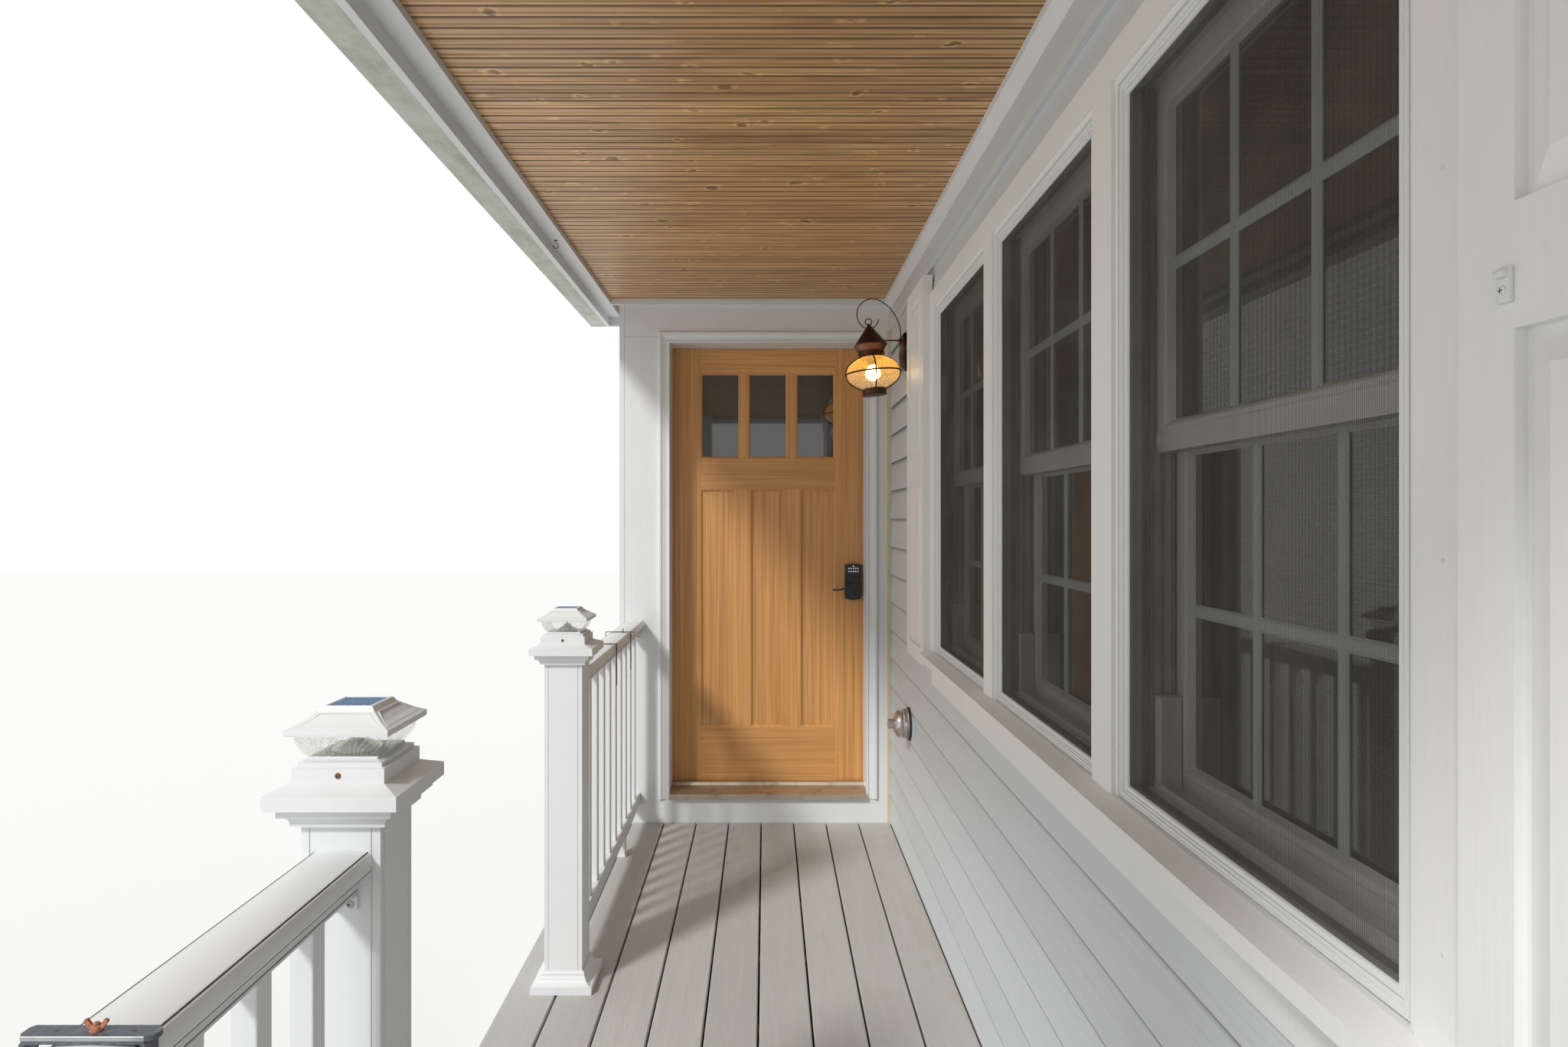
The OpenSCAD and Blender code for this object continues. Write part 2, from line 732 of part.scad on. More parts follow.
// Bevelled cut of width w and height h: flush with a face at Y = 0, it narrows by the bevel to depth d
module bevel_cut(w, h, d) intersection() {
    translate([0, 0, -d]) linear_extrude(h + 2 * d) polygon([[-d, 0], [w + d, 0], [w, d], [0, d]]);
    along_x(-d, w + d) polygon([[0, -d], [0, h + d], [d, h], [d, 0]]);
}
// The bevelled cuts on both faces of the leaf
module sticking(w, h) {
    translate([0, -e, 0]) bevel_cut(w, h, sticking_w);
    translate([0, door_t + e, 0]) mirror([0, 1, 0]) bevel_cut(w, h, sticking_w);
}
module door_leaf() color("peru") place() difference() {
    translate([0, 0, door_z0]) linear_extrude(door_h) polygon([
        [door_x0, door_y0], [door_x1 - edge_bevel, door_y0], [door_x1, end_y1], [door_x0, end_y1]
    ]);
    at_bays(lite_w, lite_bar_w, lite_z0) {
        translate([0, -1, 0]) cube([lite_w, door_t + 2, lite_h]);
        sticking(lite_w, lite_h);
    }
    at_bays(panel_w, panel_bar_w, panel_z0) {
        translate([0, -1, 0]) cube([panel_w, panel_recess + 1, panel_h]);
        translate([0, door_t - panel_recess, 0]) cube([panel_w, panel_recess + 1, panel_h]);
        sticking(panel_w, panel_h);
    }
    translate([lever_x, door_y0 - 1, lever_zz]) rotate([-90, 0, 0])
        cylinder(h = door_t + 2, r = spindle_hole_r);
}
module door_glass() color("lightblue", 0.4) place() at_bays(lite_w, lite_bar_w, lite_z0)
    translate([0, (door_t - lite_t) / 2, 0]) cube([lite_w, lite_t, lite_h]);
// Lock outline with arched ends, from its lower edge up
module lock_outline() {
    n = 10;
    a = lock_w / 2;
    polygon(concat(
        [for (i = [0:n]) [-a + i * lock_w / n, lock_arch_low * pow(2 * i / n - 1, 2)]],
        [for (i = [0:n]) [a - i * lock_w / n, lock_h - lock_arch_top * pow(2 * i / n - 1, 2)]]
    ));
}
// Plate with a bevelled face
module lock_plate() {
    linear_extrude(lock_t - lock_bevel) lock_outline();
    translate([0, 0, lock_t - lock_bevel]) linear_extrude(lock_bevel)
        translate([0, lock_h / 2]) scale([1 - 2 * lock_bevel / lock_w, 1 - 2 * lock_bevel / lock_h])
            translate([0, -lock_h / 2]) lock_outline();
}
module door_lock() color("dimgray") place() difference() {
    union() {
        translate([lever_x, door_y0, lever_zz - lock_drop]) rotate([90, 0, 0]) lock_plate();
        translate([lever_x, end_y1, lever_zz - lock_drop]) mirror([0, 1, 0]) rotate([90, 0, 0]) lock_plate();
    }
    translate([lever_x, door_y0 - lock_t - 1, lever_zz]) rotate([-90, 0, 0])
        cylinder(h = door_t + 2 * lock_t + 2, r = spindle_r + running_gap);
}
// Grip outline: one bend from the hub down to a round tip that lifts again
module grip_outline() {
    bend_x = -hub_r - lever_bend_r * cos(grip_a0);
    bend_z = hub_r - lever_bend_r * sin(grip_a0);
    grip_a1 = -90 - asin((lever_reach - grip_h / 2 + bend_x) / lever_bend_r);
    polygon(concat(
        arc(bend_x, bend_z, lever_bend_r + grip_h / 2, grip_a0, grip_a1, 10),
        arc(bend_x, bend_z, lever_bend_r - grip_h / 2, grip_a1, grip_a0, 10)
    ));
    translate([bend_x + lever_bend_r * cos(grip_a1), bend_z + lever_bend_r * sin(grip_a1)])
        circle(grip_h / 2);
    polygon([
        [0, -hub_r * grip_low], [0, hub_r * grip_high],
        arc(bend_x, bend_z, lever_bend_r - grip_h / 2, grip_a0, grip_a0, 1)[0],
        arc(bend_x, bend_z, lever_bend_r + grip_h / 2, grip_a0 - grip_flare, grip_a0, 1)[0]
    ]);
}
// Hub and grip on one side of the door
module lever_arm() {
    rotate([90, 0, 0]) cylinder(h = hub_len, r = hub_r);
    along_y(1 - hub_len, grip_t + 1 - hub_len) grip_outline();
}
module door_lever() color("dimgray") place() {
    translate([lever_x, door_y0 - lock_t - hub_gap, lever_zz]) lever_arm();
    translate([lever_x, end_y1 + lock_t + hub_gap, lever_zz]) mirror([0, 1, 0]) lever_arm();
    translate([lever_x, door_y0 - lock_t - hub_len / 2, lever_zz]) rotate([-90, 0, 0])
        cylinder(h = door_t + 2 * lock_t + hub_len, r = spindle_r);
}
module knuckle(i, inner) translate([hinge_x, hinge_y, i * knuckle_h + knuckle_gap / 2])
    difference() {
        cylinder(h = knuckle_h - knuckle_gap, r = knuckle_r);
        translate([0, 0, -1]) cylinder(h = knuckle_h + 2, r = inner);
    }
// Tab that joins a knuckle to its leaf at x0
module knuckle_tab(i, x0) difference() {
    block(x0, x0 + hinge_leaf_t, end_y1 - 2, hinge_y,
        i * knuckle_h + knuckle_gap / 2, (i + 1) * knuckle_h - knuckle_gap / 2);
    translate([hinge_x, hinge_y, -1]) cylinder(h = hinge_h + 2, r = (knuckle_r + hinge_pin_r) / 2);
}
module frame_hinges() color("gray") place() for (z = hinge_zs) translate([0, 0, z]) {
    block(door_x0 - door_gap, door_x0 - door_gap + hinge_leaf_t,
        end_y1 - hinge_leaf_d, end_y1, 0, hinge_h);
    for (i = [0:2:knuckles - 1]) {
        knuckle(i, hinge_pin_r - knuckle_wall);
        knuckle_tab(i, door_x0 - door_gap);
    }
    translate([hinge_x, hinge_y, 0]) cylinder(h = hinge_h, r = hinge_pin_r);
}
module leaf_hinges() color("gray") place() for (z = hinge_zs) translate([0, 0, z]) {
    block(door_x0 - hinge_leaf_t, door_x0, end_y1 - hinge_leaf_d, end_y1, 0, hinge_h);
    for (i = [1:2:knuckles - 1]) {
        knuckle(i, hinge_pin_r + running_gap);
        knuckle_tab(i, door_x0 - hinge_leaf_t);
    }
}

// Places something once for each window, at the opening's lower near corner
module at_windows() for (i = [0:window_count - 1])
    translate([0, bank_y0 + i * (window_w + mullion_w), window_z0]) children();
// Flat ring in Y and Z with outer size w by h, bar width b, from x0 to x1
module ring(w, h, b, x0, x1) difference() {
    translate([x0, 0, 0]) cube([x1 - x0, w, h]);
    translate([x0 - 1, b, b]) cube([x1 - x0 + 2, w - 2 * b, h - 2 * b]);
}
module window_frames() color("white") place() difference() {
    block(trim_lap, trim_lap + frame_d, bank_y0, bank_y1, window_z0, window_z1);
    at_windows() translate([0, frame_w, frame_w])
        cube([frame_d + 4, pane_w, window_h - 2 * frame_w]);
}
module at_sashes() at_windows() {
    translate([upper_sash_x, frame_w, window_h - frame_w - sash_h]) children();
    translate([lower_sash_x, frame_w, frame_w]) children();
}
module window_sashes() color("whitesmoke") place() at_sashes() ring(pane_w, sash_h, sash_w, 0, sash_t);
module window_glass() color("lightblue", 0.4) place() at_sashes()
    translate([(sash_t - glass_t) / 2, sash_w, sash_w])
        cube([glass_t, pane_w - 2 * sash_w, sash_h - 2 * sash_w]);
module window_screens() color("darkslategray") place() at_windows()
    translate([screen_x, frame_w, frame_w]) cube([screen_t, pane_w, window_h - 2 * frame_w]);
module window_trim() color("white") place() {
    difference() {
        block(-window_casing_t, trim_lap, bank_y0 - side_casing_w, bank_y1 + side_casing_w,
            window_z0 - sill_h, window_z1 + head_casing_h);
        at_windows() {
            translate([-window_casing_t - 1, 0, 0]) cube([window_casing_t + trim_lap + 2, window_w, window_h]);
            translate([-window_casing_t - 1, -lip_w, 0])
                cube([lip_d + 1, window_w + 2 * lip_w, window_h + lip_w]);
        }
        block(0, trim_lap + 1, bank_y0 - side_casing_w - 1, bank_y1 + side_casing_w + 1,
            window_z1, window_z1 + head_casing_h + 1);
        block(0, trim_lap + 1, bank_y0 - side_casing_w - 1, bank_y1 + side_casing_w + 1,
            window_z0 - sill_h - 1, window_z0);
        block(0, trim_lap + 1, bank_y1, bank_y1 + side_casing_w + 1, window_z0 - 1, window_z1 + 1);
        block(0, trim_lap + 1, bank_y0 - side_casing_w - 1, bank_y0, window_z0 - 1, window_z1 + 1);
    }
    along_y(bank_y0 - side_casing_w, bank_y1 + side_casing_w) polygon([
        [-window_casing_t + 1, window_z0 - sill_h], [-sill_out, window_z0 - sill_h],
        [-sill_out, window_z0 - sill_slope_h], [-window_casing_t + 1, window_z0]
    ]);
    block(-trim_t, 0, bank_y0 - side_casing_w, bank_y1 + side_casing_w,
        window_z0 - sill_h - apron_h, window_z0 - sill_h + 1);
}
module shutter() difference() {
    cube([shutter_t, shutter_w, shutter_h]);
    for (bay = shutter_bays) translate([-1, shutter_stile, bay[0]])
        cube([panel_sink + 1, shutter_w - 2 * shutter_stile, bay[1] - bay[0]]);
}
// Raised field of a panel, w by h, that rises towards minus X inside bevelled edges
module raised_field(w, h) intersection() {
    linear_extrude(h) polygon([
        [panel_rise, 0], [0, raise_w], [0, w - raise_w], [panel_rise, w]
    ]);
    translate([0, w, 0]) rotate([90, 0, 0]) linear_extrude(w) polygon([
        [panel_rise, 0], [0, raise_w], [0, h - raise_w], [panel_rise, h]
    ]);
}
module shutters() color("white") place() for (y = [shutter_y_far, shutter_y_near])
    translate([-siding_butt - shutter_t, y, deck_h + shutter_z]) {
        shutter();
        field_y = shutter_stile + panel_margin;
        for (bay = shutter_bays)
            translate([panel_sink - panel_rise + e, field_y, bay[0] + panel_margin])
                raised_field(shutter_w - 2 * field_y, bay[1] - bay[0] - 2 * panel_margin);
    }

module ceiling() color("saddlebrown") place() {
    block(-eave_x, 0, rake_y1, 0, ceiling_z, ceiling_top);
    block(-eave_x, -end_w, -e, far_y - trim_t, ceiling_z, ceiling_top);
}
module ceiling_trim() color("white") place() {
    block(-eave_x, eave_trim_x, rake_y1, far_y - trim_t, ceiling_z - trim_t, ceiling_z);
    block(-eave_x, 0, rake_y1, column_y - column_w / 2, ceiling_z - trim_t, ceiling_z);
    block(eave_trim_x - 1, -bed_w + 1, -trim_t, 0, ceiling_z - trim_t - bed_lip, ceiling_z);
    along_y(rake_y1, 0) polygon([
        [0, ceiling_z], [-bed_w, ceiling_z], [-bed_w, ceiling_z - trim_t],
        [-trim_t - 1, ceiling_z - bed_h], [0, ceiling_z - bed_h]
    ]);
}
// Height of a rafter's upper edge, a hair under the roof deck
function rafter_z(x) = roof_z(x) - e;
module rafter_outline() polygon([
    [-eave_x, ceiling_top], [-eave_x, rafter_z(-eave_x)], [0, rafter_z(0)],
    [0, rafter_z(0) - rafter_v],
    [-eave_x + (rafter_v - roof_z(-eave_x) + ceiling_top) / roof_rise, ceiling_top]
]);
module roof_frame() color("burlywood") place() {
    for (i = [0:rafter_count]) {
        y = rafter_y0 + i * (rafter_y1 - rafter_y0) / rafter_count;
        along_y(y, y + timber_t) rafter_outline();
        block(-rail_x, 0, y, y + timber_t, ceiling_top, ceiling_top + ceiling_joist_d);
    }
    along_y(rafter_y0, rafter_y1 + timber_t) polygon([
        [-rail_x - timber_t, ceiling_top], [-rail_x - timber_t, rafter_z(-rail_x - timber_t)],
        [-rail_x + timber_t, rafter_z(-rail_x + timber_t)], [-rail_x + timber_t, ceiling_top]
    ]);
    along_y(rafter_y0, rafter_y1 + timber_t) polygon([
        [-timber_t, ceiling_top], [-timber_t, rafter_z(-timber_t)], [0, rafter_z(0)], [0, ceiling_top]
    ]);
}
module roof_deck() color("dimgray") place() along_y(roof_y0, far_y) polygon([
    [fascia_x0 - roof_drip, roof_z(fascia_x0 - roof_drip)],
    [fascia_x0 - roof_drip, roof_z(fascia_x0 - roof_drip) + roof_v],
    [0, roof_z(0) + roof_v], [0, roof_z(0)]
]);
module fascia_boards() color("white") place() {
    along_y(rake_y0, far_y) polygon([
        [fascia_x0, fascia_z0], [-eave_x, fascia_z0], [-eave_x, roof_z(-eave_x)],
        [fascia_x0, roof_z(fascia_x0)]
    ]);
    along_y(rake_y0, rake_y1) polygon([
        [fascia_x0, fascia_z0], [0, fascia_z0], [0, roof_z(0)], [fascia_x0, roof_z(fascia_x0)]
    ]);
    along_y(far_y - trim_t, far_y) polygon([
        [fascia_x0, fascia_z0], [-end_w, fascia_z0], [-end_w, ceiling_top], [0, ceiling_top],
        [0, roof_z(0)], [fascia_x0, roof_z(fascia_x0)]
    ]);
}
// Outer outline of the gutter, from its back at the fascia round to the rim
function gutter_path(t) = concat(
    [[-t, gutter_h], [-t, t], [-gutter_bottom_w + t, t]],
    arc(-gutter_w + t, gutter_curve_z, gutter_w - gutter_bottom_w, -20, 70, 5),
    [[-gutter_w + t, gutter_h - gutter_face_h], [-gutter_w + t, gutter_h]]
);
module gutter_outline() polygon(concat(
    gutter_path(0), [for (i = [len(gutter_path(0)) - 1:-1:0]) gutter_path(gutter_t)[i]]
));
module gutter() color("gainsboro") place() translate([fascia_x0, 0, fascia_z0]) {
    along_y(roof_y0, far_y) gutter_outline();
    for (y = [roof_y0, far_y - gutter_t]) along_y(y, y + gutter_t) polygon(gutter_path(0));
}

// Sleeve outline with two shallow beads near the edges of each face
module sleeve_outline(w) difference() {
    square([w, w], center = true);
    for (a = [0:90:270], s = [-1, 1])
        rotate(a) translate([s * (w / 2 - groove_inset), w / 2])
            square([groove_w, 2 * groove_d], center = true);
}
module rail_posts() color("white") place() at_posts() linear_extrude(post_h) sleeve_outline(post_w);
module corner_column() color("white") place() translate([-rail_x, column_y, deck_h])
    linear_extrude(ceiling_h) sleeve_outline(column_w);
// Half outline of a foot trim round a sleeve of width w, reaching out past it
function base_half(w, out) = concat(
    [[0, 0], [w / 2 + out, 0]],
    arc(w / 2 + out, base_h * base_neck, base_h * base_cove, -90, -170, 5),
    [[w / 2 + base_step, base_h * base_neck], [w / 2 + base_step, base_h * base_cap],
     [w / 2 + base_step / 2, base_h], [0, base_h]]
);
module foot_trim(w, out) difference() {
    square_mould(base_half(w, out));
    translate([-w / 2, -w / 2, -1]) cube([w, w, base_h + 2]);
}
module post_bases() color("white") place() {
    at_posts() foot_trim(post_w, (base_w - post_w) / 2);
    translate([-rail_x, column_y, deck_h]) foot_trim(column_w, column_base_out);
}
module post_caps() color("white") place() at_posts() difference() {
    square_mould(concat(
        [[0, cap_z0], [cap_neck_x, cap_z0], [cap_neck_x, cap_z0 + cap_lip]],
        arc(cap_neck_x + cap_cove_r, cap_z0 + cap_lip, cap_cove_r, 180, 90, 5),
        [[cap_collar_x, cap_z0 + cap_lip + cap_cove_r], [cap_collar_x, cap_edge_z],
         [cap_x, cap_edge_z], [cap_x, cap_edge_z + cap_edge_h], [light_x, light_z], [0, light_z]]
    ));
    translate([-post_w / 2, -post_w / 2, cap_z0 - 1]) cube([post_w, post_w, cap_lap + 1]);
}
module light_housings() color("white") place() at_posts() {
    square_mould([
        [0, light_z], [light_x, light_z], [light_x, light_z + light_base_h],
        [light_x - light_step, light_z + light_base_h + 2],
        [light_x - light_step, lens_z - light_step], [lens_x0, lens_z - light_step / 2],
        [lens_x0, lens_z], [0, lens_z]
    ]);
    cell_x = cell_frame_w / 2;
    square_mould([
        [0, hood_z], [hood_x, hood_z], [hood_x, hood_z + hood_rim_h],
        [cell_x + (hood_x - cell_x) * hood_flare_x, hood_z + hood_rim_h + hood_h * hood_flare_h],
        [cell_x, hood_top_z], [cell_x - cell_frame_slope, hood_top_z + cell_frame_h],
        [0, hood_top_z + cell_frame_h]
    ]);
}
// Four-sided bowl that widens upwards to the hood
module light_lenses() color("lightcyan", 0.5) place() at_posts() square_mould(concat(
    [[0, lens_z]], arc(lens_x0 - lens_h / tan(lens_turn), hood_z, lens_h / sin(lens_turn), -lens_turn, 0, 6),
    [[0, hood_z]]
));

// Top rail outline: crowned top, sharp edges and a cove down to the web
module top_rail_outline() {
    half = top_rail_w / 2;
    crown_a = 90 - asin((half - crown_edge) / crown_r);
    polygon(mirrored(concat(
        [[0, rail_h]], arc(0, rail_h - crown_r, crown_r, (90 + crown_a) / 2, crown_a, 2),
        [[half, rail_h - rail_side_h], [half, rail_h - rail_side_h - rail_groove_h],
         [half - rail_groove_d, rail_h - rail_side_h - rail_groove_h - rail_groove_d]],
        arc(half + rail_cove_out, rail_h - rail_cove_z, rail_cove_r, 130, 185, 5),
        [[rail_web_w / 2, rail_h - rail_web_z], [rail_web_w / 2, rail_h - top_rail_d],
         [0, rail_h - top_rail_d]]
    )));
}
module railing(y0, y1) {
    run = y1 - y0;
    count = floor((run - baluster_w) / baluster_pitch);
    first = y0 + (run - (count - 1) * baluster_pitch) / 2;
    foot_y = y0 + run * rail_foot_at;
    foot = rail_foot_w / 2;
    along_y(y0, y1) top_rail_outline();
    block(-bottom_rail_w / 2, bottom_rail_w / 2, y0, y1,
        bottom_rail_z, bottom_rail_z + bottom_rail_d);
    for (i = [0:count - 1])
        translate([-baluster_w / 2, first + i * baluster_pitch - baluster_w / 2,
                bottom_rail_z + bottom_rail_d - 1])
            cube([baluster_w, baluster_w, rail_h - top_rail_d - bottom_rail_z - bottom_rail_d + 2]);
    block(-foot, foot, foot_y - foot, foot_y + foot, 0, bottom_rail_z + 1);
}
module far_railing() color("white") place()
    translate([-rail_x, 0, deck_h]) railing(far_post_y + post_w / 2, 0);
module near_railing() color("white") place()
    translate([-rail_x, 0, deck_h]) railing(column_y + column_w / 2, near_post_y - post_w / 2);
module end_railing() color("white") place()
    translate([0, column_y, deck_h]) rotate(-90) railing(-rail_x + column_w / 2, -siding_butt);

module at_lantern() translate([-lantern_x, -lantern_y, lantern_zz]) children();
module leaning() at_lantern() rotate([0, -lantern_lean, 0]) children();
// Plate with round ends, in Y and Z
module plate_outline(w, h) {
    translate([-w / 2, w / 2]) square([w, h - w]);
    for (z = [w / 2, h - w / 2]) translate([0, z]) circle(w / 2);
}
module lantern_bracket() color("sienna") place() translate([0, -lantern_y, plate_z0]) {
    along_x(plate_x + plate_step_t, -siding_butt) plate_outline(plate_w, plate_h);
    along_x(plate_x, plate_x + plate_step_t + 1) translate([0, plate_rim])
        plate_outline(plate_w - 2 * plate_rim, plate_h - 2 * plate_rim);
}
// Half outline of the globe, set in by t: rounded side and flatter top and bottom
module globe_profile(t) {
    side_x = globe_r - globe_side_r;
    tangent_x = side_x * (1 + (globe_side_r - t) / (globe_top_r - globe_side_r));
    intersection() {
        translate([side_x, 0]) circle(globe_side_r - t);
        translate([side_x, -globe_half_h]) square([globe_side_r, 2 * globe_half_h]);
    }
    intersection() {
        translate([0, -globe_cap_drop]) circle(globe_top_r - t);
        translate([0, globe_cap_drop]) circle(globe_top_r - t);
        translate([0, -globe_half_h]) square([tangent_x, 2 * globe_half_h]);
    }
}
module lantern_globe() color("goldenrod", 0.5) place() leaning()
    rotate_extrude() difference() {
        globe_profile(0);
        globe_profile(globe_t);
        translate([0, -globe_half_h - 1]) square([globe_neck_r, 2 * globe_half_h + 2]);
    }
// Round wire bent to radius r about the origin, in X and Z from the angle a0 to a1
module bent_wire(r, a0, a1) {
    far = r * 2;
    rotate([90, 0, 0]) intersection() {
        rotate_extrude() translate([r, 0]) circle(wire_r);
        translate([0, 0, -wire_r - 1]) linear_extrude(2 * wire_r + 2)
            polygon(concat([[0, 0]], arc(0, 0, far, a0, a1, ceil((a1 - a0) / 60))));
    }
}
// Wire that starts upwards and turns to the left through the bends, each a radius and an angle
module bent_bar(bends) if (len(bends) > 0) {
    r = bends[0][0];
    turn = bends[0][1];
    sphere(joint_r);
    translate([-r, 0, 0]) bent_wire(r, 0, turn);
    translate([-r, 0, 0]) rotate([0, -turn, 0]) translate([r, 0, 0])
        bent_bar([for (i = [1:1:len(bends) - 1]) bends[i]]);
}
// Cap from the globe's neck up: collar, brim and cone
module lantern_cap() rotate_extrude() polygon([
    [0, globe_half_h - spigot_h], [globe_neck_r, globe_half_h - spigot_h], [globe_neck_r, globe_half_h],
    [neck_ring_r, globe_half_h + 1], [neck_ring_r, brim_h - flare_h], [brim_r - brim_lip, brim_h - brim_lip],
    [brim_r, brim_h], [brim_r - brim_lip / 2, brim_h + brim_lip - 1], [cap_tip_r, cap_tip_h], [0, cap_tip_h]
]);
// Upright wire that follows the globe from the cap down to the lower ring
module cage_wire() {
    side_x = globe_r - globe_side_r;
    side_a = atan2(globe_cap_drop, side_x);
    neck_a = acos((globe_neck_r - wire_r) / (globe_top_r + wire_r));
    translate([side_x, 0, 0]) bent_wire(globe_side_r + wire_r, -side_a, side_a);
    translate([0, 0, -globe_cap_drop]) bent_wire(globe_top_r + wire_r, side_a, neck_a);
    translate([0, 0, globe_cap_drop]) bent_wire(globe_top_r + wire_r, -neck_a, -side_a);
}
module lantern_frame() color("sienna") place() {
    leaning() {
        lantern_cap();
        rotate_extrude() polygon([
            [0, -ring_drop], [globe_neck_r + cup_out, -ring_drop],
            [globe_neck_r + cup_out, cup_wall - globe_half_h], [globe_neck_r, cup_wall - globe_half_h],
            [globe_neck_r, spigot_h - globe_half_h],
            [globe_neck_r - cup_wall, spigot_h - globe_half_h], [globe_neck_r - cup_wall, cup_wall - ring_drop],
            [0, cup_wall - ring_drop]
        ]);
        translate([0, 0, cap_tip_h + eye_r - 1]) rotate([90, 0, 0])
            rotate_extrude() translate([eye_r, 0]) circle(wire_r);
    }
    at_lantern() translate([arm_x0, 0, arm_z - lantern_zz]) rotate([0, 90, 0])
        cylinder(h = plate_x + lantern_x - arm_x0, r = arm_r);
    at_lantern() translate([scroll_foot_x, 0, arm_z - lantern_zz]) {
        cylinder(h = scroll_foot_h, r = wire_r);
        translate([0, 0, scroll_foot_h]) bent_bar(scroll);
    }
}
module lantern_cage() color("sienna") place() leaning() {
    rotate_extrude() translate([globe_r + hoop_r, 0]) circle(hoop_r);
    difference() {
        for (i = [0:cage_wires - 1]) rotate(i * 360 / cage_wires) cage_wire();
        cylinder(h = 2 * globe_half_h, r = globe_neck_r, center = true);
    }
}
module lantern_bulb() color("lightyellow") place() leaning() rotate_extrude() {
    intersection() {
        circle(bulb_r);
        translate([0, -bulb_r]) square([bulb_r, 2 * bulb_r]);
    }
    square([bulb_neck_r, globe_half_h - spigot_h]);
}
// Round valve: base plate, two rings with a groove between them, and a stem
module wall_valve() color("dimgray") place() translate([-siding_butt, -valve_y, deck_h + valve_z])
    rotate([0, -90, 0]) rotate_extrude() polygon([
        [0, 0], for (p = valve_outline) [valve_r - p[0], p[1]],
        [valve_stem_r, valve_outline[len(valve_outline) - 1][1]], [valve_stem_r, valve_out - 1],
        [valve_stem_r - 1, valve_out], [0, valve_out]
    ]);

foundation();
deck_frame();
deck_skirt();
deck_boards();
lower_step();
upper_step();
house_wall_low();
house_wall_high();
house_wall_near();
house_wall_far();
house_siding();
end_wall_left();
end_wall_right();
end_wall_high();
end_wall_low();
end_cladding();
door_frame();
door_casing();
door_threshold();
door_leaf();
door_glass();
door_lock();
door_lever();
frame_hinges();
leaf_hinges();
window_frames();
window_sashes();
window_glass();
window_screens();
window_trim();
shutters();
ceiling();
ceiling_trim();
roof_frame();
roof_deck();
fascia_boards();
gutter();
rail_posts();
corner_column();
post_bases();
post_caps();
light_housings();
light_lenses();
far_railing();
near_railing();
end_railing();
lantern_bracket();
lantern_frame();
lantern_cage();
lantern_globe();
lantern_bulb();
wall_valve();
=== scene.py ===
"""Front porch of a timber house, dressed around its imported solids.

Lengths are in metres. Each operator finishes one group of pieces: it gives the solids that are kept
their finish, or builds the detailed pieces that stand for them.
"""

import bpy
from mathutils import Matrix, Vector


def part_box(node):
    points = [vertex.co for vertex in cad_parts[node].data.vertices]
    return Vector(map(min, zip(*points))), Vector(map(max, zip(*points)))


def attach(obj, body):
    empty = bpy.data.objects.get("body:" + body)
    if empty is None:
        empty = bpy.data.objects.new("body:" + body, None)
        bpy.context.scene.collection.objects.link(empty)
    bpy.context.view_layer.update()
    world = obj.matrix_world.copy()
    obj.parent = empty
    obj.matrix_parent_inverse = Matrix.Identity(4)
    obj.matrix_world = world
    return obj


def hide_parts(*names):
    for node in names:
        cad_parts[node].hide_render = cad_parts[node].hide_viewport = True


bl_info = {
    "name": "Front porch",
    "version": (1, 0, 0),
    "blender": (4, 5, 0),
    "location": "View3D > Sidebar > Porch",
    "description": "Dresses a covered front porch: deck, rail, window wall, entry door, eave and lantern",
    "category": "Object",
}

import math
import random
from contextlib import contextmanager
from functools import cache

import bmesh
import bpy
from bpy.props import FloatProperty, FloatVectorProperty, IntProperty, PointerProperty
from mathutils import Matrix, Vector

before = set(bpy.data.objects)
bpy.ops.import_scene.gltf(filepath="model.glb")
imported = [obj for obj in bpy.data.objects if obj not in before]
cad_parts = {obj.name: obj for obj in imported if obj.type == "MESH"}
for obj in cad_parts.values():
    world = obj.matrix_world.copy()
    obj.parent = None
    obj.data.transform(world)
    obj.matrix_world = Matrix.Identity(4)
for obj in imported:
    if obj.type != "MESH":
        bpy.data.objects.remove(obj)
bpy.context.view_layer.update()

# Planes that the porch is measured from
wall_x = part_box("house_wall_low")[0].x
end_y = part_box("end_cladding")[0].y
deck_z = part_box("deck_boards")[1].z

# Sizes that several pieces share
rail_nodes = ("far_railing", "near_railing", "end_railing")
casing_proud = 0.025
eave_board_t = 0.019
rafter_pitch = 0.406
gutter_hanger_pitch = 0.6
cell_half = 0.0305
sash_rail = 0.042
lock_edge_bevel = 0.0025
lantern_reach = 0.153
lantern_z = 1.945
merge_gap = 0.00001


def at(x, y, z):
    """Point at distances from the house wall's bare face, the end wall's face and the deck's top."""
    return Vector((wall_x + x, end_y + y, deck_z + z))


def mm(*pairs):
    """Outline in metres, of pairs in millimetres"""
    return [(u / 1000, v / 1000) for u, v in pairs]


def placed(outline, u_shift, v_shift, side=1):
    """Outline at its place, and the other way round where side is -1"""
    return [(u_shift + side * u, v_shift + v) for u, v in outline]


# Settings that a user would change

def length(name, default, description):
    return FloatProperty(name=name, description=description, default=default, min=0, unit="LENGTH")


def colour(name, default, description):
    return FloatVectorProperty(
        name=name, description=description, default=default, size=3, min=0, max=1, subtype="COLOR")


